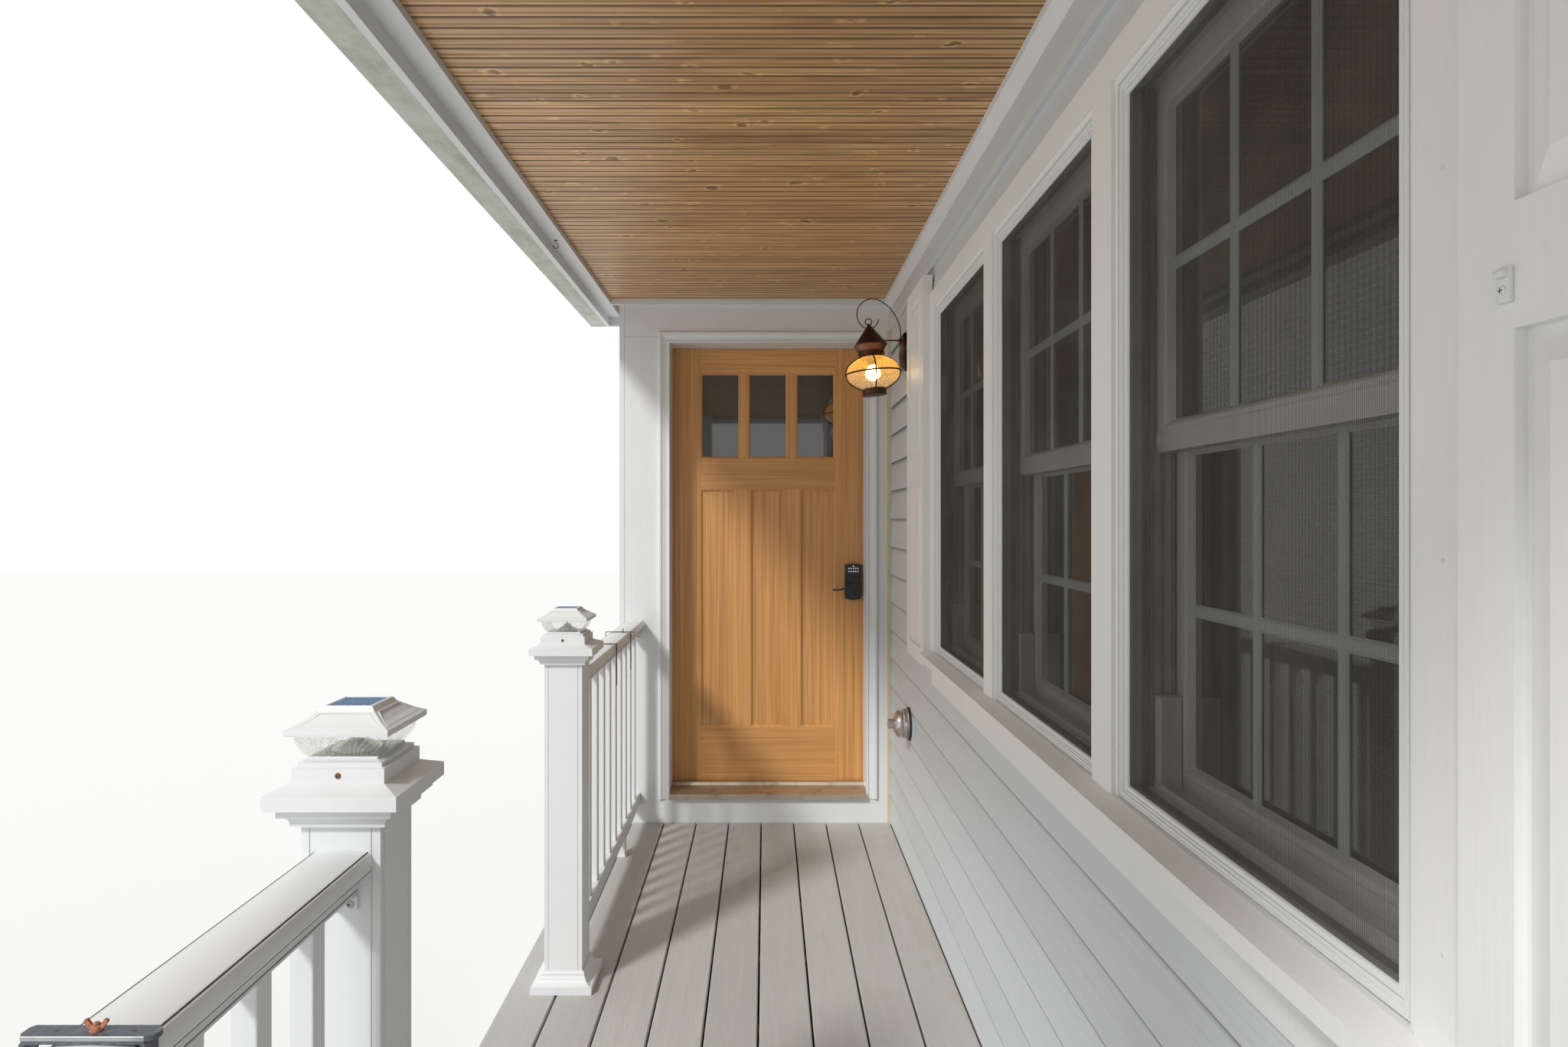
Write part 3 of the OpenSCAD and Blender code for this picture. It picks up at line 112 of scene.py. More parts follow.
class PorchSizes(bpy.types.PropertyGroup):
    """Sizes of the pieces that dress the porch"""
    bead_pitch: length("Bead spacing", 0.0397, "Distance between two beads of the ceiling")
    bead_groove: length("Bead groove", 0.0035, "Depth of the grooves beside each bead")
    deck_pitch: length("Deck board spacing", 0.146, "Distance from one deck board to the next")
    siding_course: length("Siding course", 0.124, "Exposed height of one siding board")
    shingle_course: length("Shingle course", 0.143, "Exposed height of one row of shingles")
    shingle_w: length("Shingle width", 0.305, "Width of one shingle tab")
    shingle_t: length("Shingle thickness", 0.005, "Thickness of a shingle's butt")
    window_count: IntProperty(name="Windows", description="Windows in the bank", default=3, min=1)
    mullion_w: length("Mullion", 0.110, "Width of the post between two windows")
    muntin_w: length("Window bar", 0.020, "Width of the bars on a sash")
    lite_bar: length("Lite bar", 0.038, "Width of the bars between the door's lites")
    panel_bar: length("Panel bar", 0.073, "Width of the stiles between the door's panels")
    door_stile: length("Door stile", 0.143, "Width of the door's stiles")
    mid_rail: length("Middle rail", 0.144, "Height of the rail between lites and panels")
    panel_h: length("Panel height", 1.109, "Height of a door panel")
    screen_pitch: length("Screen mesh", 0.0018, "Distance between two wires of the insect screens")
    screen_wire: length("Screen wire", 0.00025, "Thickness of the screens' wire")
    baluster_w: length("Baluster", 0.032, "Width of a baluster")
    baluster_pitch: length("Baluster spacing", 0.127, "Distance from one baluster to the next")


class PorchColours(bpy.types.PropertyGroup):
    """Main colours of the porch"""
    paint: colour("Trim paint", (0.74, 0.755, 0.755), "Painted trim, rail and posts")
    # Lighter copy of the trim paint: painted light that brightens the window wall's casings and shutters
    lit_window_paint: colour("Window trim", (0.83, 0.835, 0.815), "Painted casings and shutters of the windows")
    siding: colour("Siding", (0.62, 0.65, 0.665), "Lap siding on the house wall")
    deck: colour("Deck", (0.49, 0.48, 0.45), "Composite deck boards")
    ceiling_light: colour("Ceiling, light", (0.74, 0.45, 0.20), "Light grain of the stained ceiling")
    ceiling_dark: colour("Ceiling, dark", (0.35, 0.175, 0.062), "Dark grain of the stained ceiling")
    door_light: colour("Door, light", (0.71, 0.375, 0.125), "Light grain of the stained door")
    door_dark: colour("Door, dark", (0.44, 0.185, 0.048), "Dark grain of the stained door")
    granite: colour("Granite", (0.25, 0.28, 0.31), "Split-faced stone of the steps")
    gutter: colour("Gutter", (0.55, 0.56, 0.50), "Weathered gutter and fascia")
    copper: colour("Copper", (0.11, 0.045, 0.026), "Aged copper of the lantern")
    shingle: colour("Shingles", (0.055, 0.055, 0.06), "Mineral granules of the roof")


def sizes():
    return bpy.context.scene.porch_sizes


def colours():
    return bpy.context.scene.porch_colours


# Shader arithmetic

def math_node(operation, swapped=False):
    """Python operator that adds one Math node"""
    def add_node(value, *others):
        values = (*others, value) if swapped else (value, *others)
        return value.finish.node("ShaderNodeMath", {"operation": operation}, dict(enumerate(values)))
    return add_node


class Socket:
    """A shader value: each Python operator on it adds one Math node"""

    def __init__(self, finish, socket):
        self.finish = finish
        self.socket = socket

    __add__ = math_node("ADD")
    __radd__ = math_node("ADD", swapped=True)
    __sub__ = math_node("SUBTRACT")
    __rsub__ = math_node("SUBTRACT", swapped=True)
    __mul__ = math_node("MULTIPLY")
    __rmul__ = math_node("MULTIPLY", swapped=True)
    __truediv__ = math_node("DIVIDE")
    __gt__ = math_node("GREATER_THAN")
    __lt__ = math_node("LESS_THAN")
    floor = math_node("FLOOR")
    wrap = math_node("FRACT")
    size = math_node("ABSOLUTE")


class Finish:
    """One material, with its node tree"""

    def __init__(self, name, colour, roughness=0.5, **values):
        self.material = bpy.data.materials.new(name)
        self.material.use_nodes = True
        self.tree = self.material.node_tree
        self.surface = self.tree.nodes["Principled BSDF"]
        self.base = tuple(colour)
        self.set("Base Color", self.base)
        self.set("Roughness", roughness)
        for name, value in values.items():
            self.set(name.replace("_", " ").title().replace("Ior", "IOR"), value)

    def feed(self, socket, value):
        if isinstance(value, Socket):
            self.tree.links.new(value.socket, socket)
        elif socket.type == "RGBA":
            socket.default_value = (*value, 1)
        else:
            socket.default_value = value

    def set(self, name, value):
        self.feed(self.surface.inputs[name], value)

    def varied(self, colour=None, roughness=None, height=None, distance=0.0, strength=1.0):
        """Hands over the material, with what varies over its surface: colour, roughness and raised height"""
        if colour:
            self.set("Base Color", colour)
        if roughness:
            self.set("Roughness", roughness)
        if height:
            self.set("Normal", self.node("ShaderNodeBump", None, {
                "Strength": strength, "Distance": distance, "Height": height}))
        return self.material

    def node(self, kind, settings=None, sockets=None, output=0):
        """Adds a node, with its settings first and then the values or links of its sockets"""
        made = self.tree.nodes.new(kind)
        for name, value in (settings or {}).items():
            setattr(made, name, value)
        for name, value in (sockets or {}).items():
            self.feed(made.inputs[name], value)
        return Socket(self, made.outputs[output])

    def place(self, stretch=(1, 1, 1)):
        """Object coordinates, scaled"""
        where = self.node("ShaderNodeTexCoord", output=3)
        return self.node("ShaderNodeMapping", None, {"Vector": where, "Scale": stretch})

    def axis(self, index):
        return self.node("ShaderNodeSeparateXYZ", None, {0: self.place()}, output=index)

    def vector(self, *parts):
        return self.node("ShaderNodeCombineXYZ", None, dict(enumerate(parts)))

    def moved(self, where, shift):
        return self.node("ShaderNodeVectorMath", {"operation": "ADD"}, {0: where, 1: shift})

    def attribute(self, name):
        return self.node("ShaderNodeAttribute", {"attribute_name": name}, output=2)

    def noise(self, scale, detail=3, roughness=0.55, distortion=0, stretch=(1, 1, 1), where=None):
        return self.node("ShaderNodeTexNoise", None, {
            "Vector": where or self.place(stretch), "Scale": scale, "Detail": detail, "Roughness": roughness,
            "Distortion": distortion})

    def cells(self, scale, where=None, output=0):
        return self.node("ShaderNodeTexVoronoi", None, {
            "Vector": where or self.place(), "Scale": scale}, output)

    def ramp(self, value, *stops):
        """Colour that runs through stops, each a place and a colour"""
        made = self.node("ShaderNodeValToRGB", None, {0: value})
        elements = made.socket.node.color_ramp.elements
        while len(elements) < len(stops):
            elements.new(1)
        for element, (place, colour) in zip(elements, stops):
            element.position = place
            element.color = (*colour, 1)
        return made

    def spread(self, value, low, high, to_low=0.0, to_high=1.0):
        """Value from low to high, spread over another range and kept inside it"""
        return self.node("ShaderNodeMapRange", {"clamp": True}, {
            0: value, 1: low, 2: high, 3: to_low, 4: to_high})

    def mix(self, amount, first, second):
        return self.node("ShaderNodeMix", {"data_type": "RGBA"}, {0: amount, 6: first, 7: second}, output=2)

    def shade(self, colour, value):
        """Colour made lighter or darker by a value around one"""
        return self.node("ShaderNodeVectorMath", {"operation": "SCALE"}, {0: colour, 3: value})

    def random(self, value):
        """One steady random number for each whole value"""
        return self.node("ShaderNodeTexWhiteNoise", {"noise_dimensions": "1D"}, {1: value})


def along(axis, fine, coarse):
    """Scale that stretches a pattern along one axis"""
    return tuple(coarse if name == axis else fine for name in "XYZ")


# Finishes

def painted(name, colour, axis="Z", roughness=0.42, dirt=0.10, grain=0.00025, streaks=0.05):
    """Satin paint with a faint grain along one axis, and a little grime"""
    made = Finish(name, colour, roughness)
    fibres = made.noise(160, 3, stretch=along(axis, 1, 0.05))
    clouds = made.noise(2.2, 4)
    specks = made.spread(made.noise(60, 4, 0.7), 0.62, 0.8)
    clean = made.shade(made.base, 1.04 - dirt * clouds - streaks * fibres)
    grime = made.spread(clouds, 0.5, 0.75, 0, dirt * 2.5) * specks
    return made.varied(made.mix(grime, clean, (0.25, 0.22, 0.16)), roughness + 0.12 * clouds,
                       fibres + 0.5 * specks, grain)


@cache
def trim_paint():
    return painted("trim_paint", colours().paint)


# Painted light: a lighter copy of the trim paint, for the window wall's casings and shutters
@cache
def lit_casing_paint():
    return painted("lit_casing_paint", colours().lit_window_paint, roughness=0.36)


@cache
def eave_paint():
    return painted("eave_paint", colours().paint, "Y", dirt=0.16)


@cache
def vinyl():
    return painted("white_vinyl", colours().paint, "Z", 0.36, 0.09, 0.00004, 0.015)


@cache
def window_vinyl():
    return painted("window_vinyl", (0.70, 0.69, 0.64), "Z", 0.35, 0.12, 0.00003, 0.01)


@cache
def grey_vinyl():
    return painted("grey_vinyl", (0.52, 0.55, 0.52), "Z", 0.4, 0.12, 0.00008)


# Painted shade: a darker vinyl for the shaded jamb ribs and screen stops, and for the rail's fainter shadow
# lines
@cache
def shaded_vinyl():
    return painted("shaded_track_vinyl", (0.30, 0.29, 0.27), "Z", 0.45, 0.25, 0.0001)


@cache
def wall_board():
    return painted("wall_board", (0.70, 0.69, 0.66), "Z", 0.7, 0.08, 0.0002)


@cache
def siding_boards():
    """Painted cement boards with a pressed cedar grain, painted shade just below each board's overlapping butt
    and along each board's lower edge, and a cream corner strip
    """
    corner_strip_w, frieze_h = 0.0262, 0.145
    made = Finish("siding_boards", colours().siding, 0.5)
    rings = made.noise(42, 4, 0.6, 1.4, (1, 0.045, 1))
    fibres = made.noise(300, 3, stretch=(1, 0.02, 1))
    course = (made.axis(2) - (deck_z + 0.006)) / sizes().siding_course
    strip = made.axis(1) > end_y - corner_strip_w
    lapped = (1 - strip) * (made.axis(2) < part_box("ceiling")[0].z - frieze_h)
    share = course.wrap()
    # Painted shade: darker at the top of each course, under the butt of the board above, and a thin dark line
    # along each board's lower edge
    lap_shade = (made.spread(share, 0.86, 0.97, 0, 0.7) + made.spread(share, 0.012, 0.024, 1, 0)) * lapped
    tone = 0.95 + 0.08 * made.random(course.floor()) - 0.13 * (rings - 0.4) - 0.05 * fibres
    boards = made.shade(made.base, tone * (1 - 0.62 * lap_shade))
    cream = made.shade((0.60, 0.52, 0.38), 0.9 + 0.2 * made.noise(14, 4))
    return made.varied(made.mix(strip, boards, cream), 0.42 + 0.2 * rings, rings + 0.5 * fibres, 0.0016)


@cache
def deck_composite():
    """Composite boards with a brushed, pressed grain, scuffed and dusty near the wall"""
    made = Finish("deck_composite", colours().deck, 0.62)
    board = ((made.axis(0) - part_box("deck_boards")[0].x) / sizes().deck_pitch).floor()
    where = made.moved(made.place((1, 0.05, 1)), made.vector(0, made.random(board) * 9, board))
    cathedral = made.noise(26, 3, 0.5, 1.8, where=where)
    fibres = made.noise(330, 4, 0.65, stretch=(1, 0.035, 1))
    clouds = made.noise(3.5, 5, 0.6)
    tone = 0.93 + 0.10 * made.random(board) + 0.16 * (cathedral - 0.5) + 0.14 * (fibres - 0.5)
    dust = made.spread(clouds, 0.5, 0.8, 0, 0.5) * made.spread(made.axis(0), wall_x - 0.35, wall_x, 0.15, 1)
    return made.varied(made.mix(dust, made.shade(made.base, tone), (0.30, 0.24, 0.17)), 0.55 + 0.25 * fibres,
                       cathedral * 0.6 + fibres, 0.0009)


def stained(name, light, dark, axis, board_axis=None, board_pitch=0.0794, knots=0.0, roughness=0.38,
            stretch=0.06, beads=None, rings_scale=42):
    """Stained softwood: growth rings and pores drawn out along the grain, and knots where asked; where beads
    are asked, darker beside each bead from stain and painted shade, and a painted highlight on its crown
    """
    made = Finish(name, light, roughness, coat_weight=0.25, coat_roughness=0.25)
    if board_axis is None:
        board = made.attribute("board")
        tone = 0.92 + 0.16 * board
        shift = made.vector(*(board * (5 + 3 * i) for i in range(3)))
    else:
        board = (made.axis(board_axis) / board_pitch).floor()
        tone = 0.86 + 0.28 * made.random(board)
        shift = made.vector(*(made.random(board + 7.3 * i) * 5 for i in range(3)))
    rings = made.noise(rings_scale, 3, 0.5, 1.1, where=made.moved(made.place(along(axis, 1, stretch)), shift))
    pores = made.noise(420, 3, 0.6, stretch=along(axis, 1, 0.025))
    stain = made.mix(made.spread(rings, 0.30, 0.68) * 0.75 + 0.25 * pores, tuple(dark), made.base)
    if knots:
        wobble = made.node("ShaderNodeTexNoise", None, {"Scale": 9}, output=1)
        spot = made.cells(1, made.moved(made.place(along(axis, 13, 9)), wobble))
        off = spot - made.spread(made.noise(9, 2), 0.35, 0.65, 0.0, knots)
        stain = made.mix(made.spread(off, 0.0, 0.10, 0.6, 0), stain, tuple(1.35 * part for part in light))
        stain = made.mix(made.spread(off, -0.06, 0.01, 0.85, 0), stain, tuple(0.5 * part for part in dark))
    # Beads: stain and painted shade darken the grooves beside each bead, and a painted highlight lightens its
    # crown
    if beads:
        start, pitch, crown, edge = beads
        off = (((made.axis(1) - start) / pitch).wrap() - 0.5).size() * pitch
        groove_stain_and_shade = made.spread(off, crown, crown + 0.002) * made.spread(off, edge, edge + 0.003, 1, 0)
        tone = tone * (1 - 0.62 * groove_stain_and_shade) * (1 + 0.16 * made.spread(off, 0, crown, 1, 0))
    return made.varied(made.shade(stain, tone), roughness + 0.2 * pores, pores + 0.6 * rings, 0.0004)


@cache
def ceiling_pine():
    return stained("ceiling_pine", colours().ceiling_light, colours().ceiling_dark, "X", 1, 0.0794, 0.21,
                   beads=(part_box("ceiling")[0].y, sizes().bead_pitch, 0.0045, 0.0095))


def door_fir(name, axis):
    return stained(name, colours().door_light, colours().door_dark, axis, stretch=0.012, rings_scale=95)


@cache
def door_upright():
    return door_fir("door_fir_upright", "Z")


@cache
def door_across():
    return door_fir("door_fir_across", "X")


@cache
def framing_lumber():
    return stained("framing_lumber", (0.52, 0.37, 0.20), (0.33, 0.20, 0.09), "Y", None, 0.1, 0.08, 0.7)


@cache
def split_granite():
    """Blue-grey granite: dark and pale crystals on a cloudy ground"""
    made = Finish("split_granite", colours().granite, 0.75)
    crystals = made.noise(210, 2, 0.7)
    clouds = made.noise(7, 4)
    stone = made.ramp(crystals, (0.30, (0.03, 0.035, 0.04)), (0.45, made.base), (0.62, (0.42, 0.44, 0.46)),
                      (0.80, (0.62, 0.60, 0.56)))
    return made.varied(made.shade(stone, 0.8 + 0.45 * clouds), 0.65 + 0.2 * crystals,
                       crystals + 2 * clouds, 0.002)


@cache
def poured_concrete():
    made = Finish("poured_concrete", (0.42, 0.41, 0.38), 0.85)
    clouds = made.noise(5, 6, 0.65)
    grit = made.noise(190, 3)
    return made.varied(made.shade(made.base, 0.72 + 0.4 * clouds + 0.18 * grit), None, grit + clouds, 0.0015)


@cache
def shingle_granules():
    """Mineral granules, each tab a little lighter or darker"""
    made = Finish("shingle_granules", colours().shingle, 0.9)
    speckle = made.node("ShaderNodeRGBToBW", None, {0: made.cells(520, output=1)})
    return made.varied(made.shade(made.base, 0.5 + 0.9 * speckle + 0.6 * made.attribute("tab")), None,
                       speckle, 0.0012)


@cache
def mildewed_metal():
    """Painted gutter metal, greenish with mildew underneath"""
    made = Finish("mildewed_metal", colours().gutter, 0.45)
    streaks = made.noise(22, 5, 0.65, stretch=(1, 0.12, 1))
    blotches = made.noise(14, 5, 0.7)
    growth = made.spread(streaks + blotches, 0.85, 1.3, 0, 0.55)
    return made.varied(made.mix(growth, made.base, (0.20, 0.22, 0.13)), 0.4 + 0.3 * blotches,
                       blotches, 0.0003)


@cache
def dark_glass():
    """Window glass painted dark as the shade of the room behind it, with darker and paler patches, and two
    panes that ripple a little
    """
    made = Finish("dark_glass", (0.020, 0.019, 0.017), 0.03,
                  coat_weight=1.0, coat_roughness=0.02, coat_ior=1.7)
    ripple = made.noise(1.6, 2)
    # Painted shade of the room behind the glass, in darker and paler patches
    room_shade = made.noise(1.7, 3, 0.6, stretch=(1, 0.6, 0.35))
    return made.varied(made.mix(room_shade, (0.013, 0.012, 0.011), (0.050, 0.045, 0.038)), 0.02 + 0.03 * ripple,
                       ripple, 0.004, 0.2)


@cache
def screen_mesh():
    """Coated glass-fibre wire, dusty in places"""
    made = Finish("screen_mesh", (0.055, 0.052, 0.045), 0.6)
    dust = made.noise(7, 4)
    tone = made.mix(made.spread(dust, 0.4, 0.75, 0, 0.6), (0.048, 0.046, 0.040), (0.16, 0.15, 0.12))
    return made.varied(tone, 0.5 + 0.3 * dust, dust, 0.0001)


def hazy(name, colour, roughness, scale, detail, tone, gloss, depth):
    """Smooth surface under a haze: each pair is the least and the reach of its tone or its roughness"""
    made = Finish(name, colour, roughness)
    haze = made.noise(scale, detail)
    colour = tone and made.shade(made.base, tone[0] + tone[1] * haze)
    return made.varied(colour, gloss[0] + gloss[1] * haze, haze, depth)


@cache
def black_metal():
    return hazy("black_metal", (0.016, 0.016, 0.017), 0.32, 60, 4, (0.7, 0.6), (0.26, 0.18), 0.0001)


@cache
def dark_plastic():
    return hazy("dark_plastic", (0.012, 0.012, 0.013), 0.28, 260, 3, None, (0.2, 0.3), 0.00005)


@cache
def shadow_line():
    """Dark gap: painted shadow in grooves, holes and screw crosses, and the dark of real board joints"""
    made = Finish("shadow_line", (0.10, 0.095, 0.085), 0.8)
    # Noise mottles the dark, which is painted shadow wherever it stands for a groove, a hole or a recess
    grime = made.noise(90, 3)
    return made.varied(made.shade(made.base, 0.5 + grime), None, grime, 0.0001)


def metal(name, colour, roughness, wear, amount=0.3, scale=40):
    """Metal with scuffed patches"""
    made = Finish(name, colour, roughness, metallic=0.9)
    patches = made.spread(made.noise(scale, 5, 0.65), 0.5, 0.72, 0, amount)
    return made.varied(made.mix(patches, made.base, wear), roughness + 0.3 * patches, patches, 0.0003)


@cache
def hinge_steel():
    return metal("hinge_steel", (0.55, 0.53, 0.49), 0.35, (0.32, 0.27, 0.20))


@cache
def sill_bronze():
    return metal("sill_bronze", (0.55, 0.48, 0.38), 0.5, (0.24, 0.16, 0.10), 0.6, 12)


@cache
def sooty_copper():
    return metal("sooty_copper", (0.055, 0.030, 0.020), 0.5, (0.16, 0.07, 0.045), 0.4, 60)


@cache
def worn_chrome():
    return metal("worn_chrome", (0.55, 0.52, 0.50), 0.22, (0.35, 0.17, 0.10), 0.5, 55)


@cache
def rusty_steel():
    return metal("rusty_steel", (0.22, 0.13, 0.08), 0.6, (0.28, 0.09, 0.03), 0.9, 300)


@cache
def galvanised():
    return metal("galvanised_steel", (0.45, 0.46, 0.47), 0.4, (0.30, 0.30, 0.29), 0.4, 90)


@cache
def weathered_iron():
    return metal("weathered_iron", (0.07, 0.075, 0.085), 0.42, (0.20, 0.20, 0.21), 0.6, 45)


@cache
def clamp_iron():
    """Dull blue-grey iron, blotched with a paler bloom"""
    return metal("clamp_iron", (0.16, 0.175, 0.20), 0.6, (0.34, 0.355, 0.375), 0.7, 150)


@cache
def orange_rust():
    """Thick orange rust, browner in its pits"""
    made = Finish("orange_rust", (0.46, 0.18, 0.09), 0.75)
    pits = made.noise(420, 4, 0.7)
    rust = made.mix(made.spread(pits, 0.4, 0.7), (0.52, 0.22, 0.115), (0.20, 0.08, 0.045))
    return made.varied(rust, None, pits, 0.0003)


@cache
def aged_copper():
    """Aged copper, nearly black on the cone and redder round the brim"""
    made = Finish("aged_copper", colours().copper, 0.42, metallic=0.75)
    patches = made.spread(made.noise(26, 5, 0.65), 0.42, 0.70, 0, 0.6)
    height = made.axis(2) - (deck_z + lantern_z)
    brim = made.spread(height, 0.080, 0.088) * made.spread(height, 0.104, 0.113, 1, 0)
    dark = made.mix(patches, made.shade(made.base, 0.45), (0.16, 0.065, 0.036))
    return made.varied(made.mix(brim, dark, (0.25, 0.120, 0.080)), 0.40 + 0.3 * patches, patches, 0.0003)


@cache
def seeded_amber():
    """Amber glass full of small seeds, paler towards its foot, glowing as painted light from the bulb,
    brighter towards the top
    """
    made = Finish("seeded_amber", (1.0, 0.66, 0.26), 0.08,
                  transmission_weight=0.90, ior=1.25, emission_strength=0.35)
    seeds = made.cells(150)
    height = made.spread(made.axis(2), deck_z + lantern_z - 0.050, deck_z + lantern_z + 0.055)
    speckle = made.spread(seeds, 0.15, 0.5, 0.55, 1)
    # Painted light: the glass glows with the bulb's light, brighter towards the top
    glow = made.mix(height, (0.20, 0.13, 0.07), (0.95, 0.52, 0.12))
    made.set("Emission Color", made.shade(glow, speckle))
    return made.varied(made.shade(made.mix(height, (0.96, 0.87, 0.70), (0.95, 0.64, 0.18)), speckle),
                       0.05 + 0.1 * seeds, made.spread(seeds, 0.05, 0.35), 0.0009, 0.5)


@cache
def clear_lens():
    """Clear plastic, cloudier where its swirls gather"""
    made = Finish("clear_lens", (0.93, 0.93, 0.86), 0.12, transmission_weight=0.75, ior=1.12)
    swirl = made.noise(55, 3, 0.5, 2.2, (1, 1, 0.35))
    made.set("Alpha", 0.20 + 0.32 * swirl)
    return made.varied(made.mix(swirl, (0.93, 0.93, 0.78), (1.0, 1.0, 0.96)), 0.10 + 0.3 * made.noise(30, 4),
                       swirl, 0.0010)


@cache
def lit_bulb():
    made = Finish("lit_bulb", (1.0, 0.93, 0.80), 0.3, emission_strength=9.0)
    made.set("Emission Color", made.mix(made.noise(30, 2) * 0.4, (1.0, 0.93, 0.78), (1.0, 0.80, 0.52)))
    return made.material


@cache
def key_light():
    made = Finish("key_light", (0.80, 0.83, 0.83), 0.4, emission_strength=0.2)
    made.set("Emission Color", made.mix(made.noise(400, 1), (0.8, 0.86, 0.88), (0.95, 0.97, 0.98)))
    return made.material


@cache
def solar_cell():
    """Blue cell with fine silver lines"""
    made = Finish("solar_cell", (0.03, 0.12, 0.24), 0.42, specular_ior_level=0.1)
    lines = (made.axis(0) * 110).wrap() < 0.08
    blue = made.shade(made.base, 0.6 + made.noise(120, 3))
    return made.varied(made.mix(lines, blue, (0.40, 0.42, 0.45)))


@cache
def bright_reflector():
    made = Finish("bright_reflector", (0.85, 0.85, 0.80), 0.35, metallic=0.2)
    haze = made.noise(90, 2)
    return made.varied(None, 0.15 + 0.2 * haze, haze, 0.0002)


@cache
def dark_rubber():
    made = Finish("dark_rubber", (0.035, 0.033, 0.03), 0.7)
    ribs = (made.axis(1) * 260).wrap()
    return made.varied(None, 0.6 + 0.2 * ribs, ribs, 0.0004)


@cache
def pale_floor():
    return Finish("floor_finish", (0.80, 0.80, 0.79), 0.9).material


# Shaping helpers

@contextmanager
def editing():
    """Edit mode with the whole of the active piece selected, and back"""
    bpy.ops.object.mode_set(mode="EDIT")
    bpy.ops.mesh.select_all(action="SELECT")
    yield
    bpy.ops.object.mode_set(mode="OBJECT")


def deselect():
    if bpy.context.mode != "OBJECT":
        bpy.ops.object.mode_set(mode="OBJECT")
    bpy.ops.object.select_all(action="DESELECT")


def activate(piece):
    deselect()
    piece.select_set(True)
    bpy.context.view_layer.objects.active = piece


def move_by(*parts):
    """Matrix that moves by a vector, or by three lengths"""
    return Matrix.Translation(parts[0] if len(parts) == 1 else parts)


def turn_z(degrees):
    return Matrix.Rotation(math.radians(degrees), 4, "Z")


def facing(direction, spot):
    """Matrix that turns up to a direction and moves to a spot"""
    turn = Vector((0, 0, 1)).rotation_difference(Vector(direction)).to_matrix().to_4x4()
    return move_by(Vector(spot)) @ turn


def block(name, low, high):
    """Box between two corners, with its place in its mesh"""
    low, high = Vector(low), Vector(high)
    deselect()
    bpy.ops.mesh.primitive_cube_add(size=1, location=(low + high) / 2, scale=high - low)
    piece = bpy.context.active_object
    piece.name = name
    bpy.ops.object.transform_apply(location=True, rotation=True, scale=True)
    return piece


def board(name, low, high, ease=0.0015, segments=1):
    """Box with eased edges"""
    piece = block(name, low, high)
    with editing():
        bpy.ops.mesh.bevel(offset=ease, segments=segments, affect="EDGES")
    return piece


def loop_of(name, points):
    """Closed loop of edges: a circle whose vertices are moved to the points"""
    deselect()
    bpy.ops.mesh.primitive_circle_add(vertices=len(points), radius=1, fill_type="NOTHING")
    piece = bpy.context.active_object
    piece.name = name
    for vertex, point in zip(piece.data.vertices, points):
        vertex.co = point
    return piece


def drawn(name, outline, axis, start, end):
    """Moulding: an outline in the two other axes, filled and drawn out along X, Y or Z"""
    spot = "XYZ".index(axis)
    piece = loop_of(name, [Vector((*pair[:spot], start, *pair[spot:])) for pair in outline])
    step = Vector((0, 0, 0))
    step[spot] = end - start
    with editing():
        bpy.ops.mesh.edge_face_add()
        bpy.ops.mesh.extrude_region_move(TRANSFORM_OT_translate={"value": step})
        bpy.ops.mesh.select_all(action="SELECT")
        bpy.ops.mesh.normals_make_consistent(inside=False)
    return piece


def turned(name, outline, centre, steps=48, axis=(0, 0, 1)):
    """Turned piece: an outline of radius and height, spun about an axis through the centre"""
    piece = loop_of(name, [(radius, 0, height) for radius, height in outline])
    with editing():
        bpy.ops.mesh.spin(steps=steps, angle=math.tau, center=(0, 0, 0), axis=(0, 0, 1))
        bpy.ops.mesh.select_all(action="SELECT")
        bpy.ops.mesh.remove_doubles(threshold=merge_gap)
        bpy.ops.mesh.dissolve_degenerate(threshold=merge_gap)
        bpy.ops.mesh.delete_loose()
        bpy.ops.mesh.select_all(action="SELECT")
        bpy.ops.mesh.normals_make_consistent(inside=False)
    piece.data.transform(facing(axis, centre))
    return piece


def mitred(name, axis, low, high, profile, closed=True):
    """Rectangular frame with mitred corners: each profile point is how far it stands in from the
    rectangle's edges and its place along the axis"""
    normal = "XYZ".index(axis)
    flat = [i for i in range(3) if i != normal]
    middle = (Vector(low) + Vector(high)) / 2
    half = (Vector(high) - Vector(low)) / 2

    def corner(sign_a, sign_b, inset, place):
        point = Vector(middle)
        point[normal] = place
        point[flat[0]] += sign_a * (half[flat[0]] - inset)
        point[flat[1]] += sign_b * (half[flat[1]] - inset)
        return point

    signs = [(-1, -1), (1, -1), (1, 1), (-1, 1)]
    piece = loop_of(name, [corner(a, b, *profile[0]) for a, b in signs])
    with editing():
        bpy.ops.mesh.select_mode(type="EDGE")
        bpy.ops.mesh.select_all(action="SELECT")
        for spot in [*profile[1:], profile[0]] if closed else profile[1:]:
            bpy.ops.mesh.extrude_region_move()
            shape = bmesh.from_edit_mesh(piece.data)
            for vertex in [v for v in shape.verts if v.select]:
                away = vertex.co - middle
                vertex.co = corner(math.copysign(1, away[flat[0]]), math.copysign(1, away[flat[1]]), *spot)
            bmesh.update_edit_mesh(piece.data)
        bpy.ops.mesh.select_all(action="SELECT")
        bpy.ops.mesh.remove_doubles(threshold=merge_gap)
        bpy.ops.mesh.normals_make_consistent(inside=False)
    return piece


def changed(piece, kind, **settings):
    """Applies one modifier to a piece"""
    activate(piece)
    modifier = piece.modifiers.new(kind.lower(), kind)
    for name, value in settings.items():
        setattr(modifier, name, value)
    bpy.ops.object.modifier_apply(modifier=modifier.name)


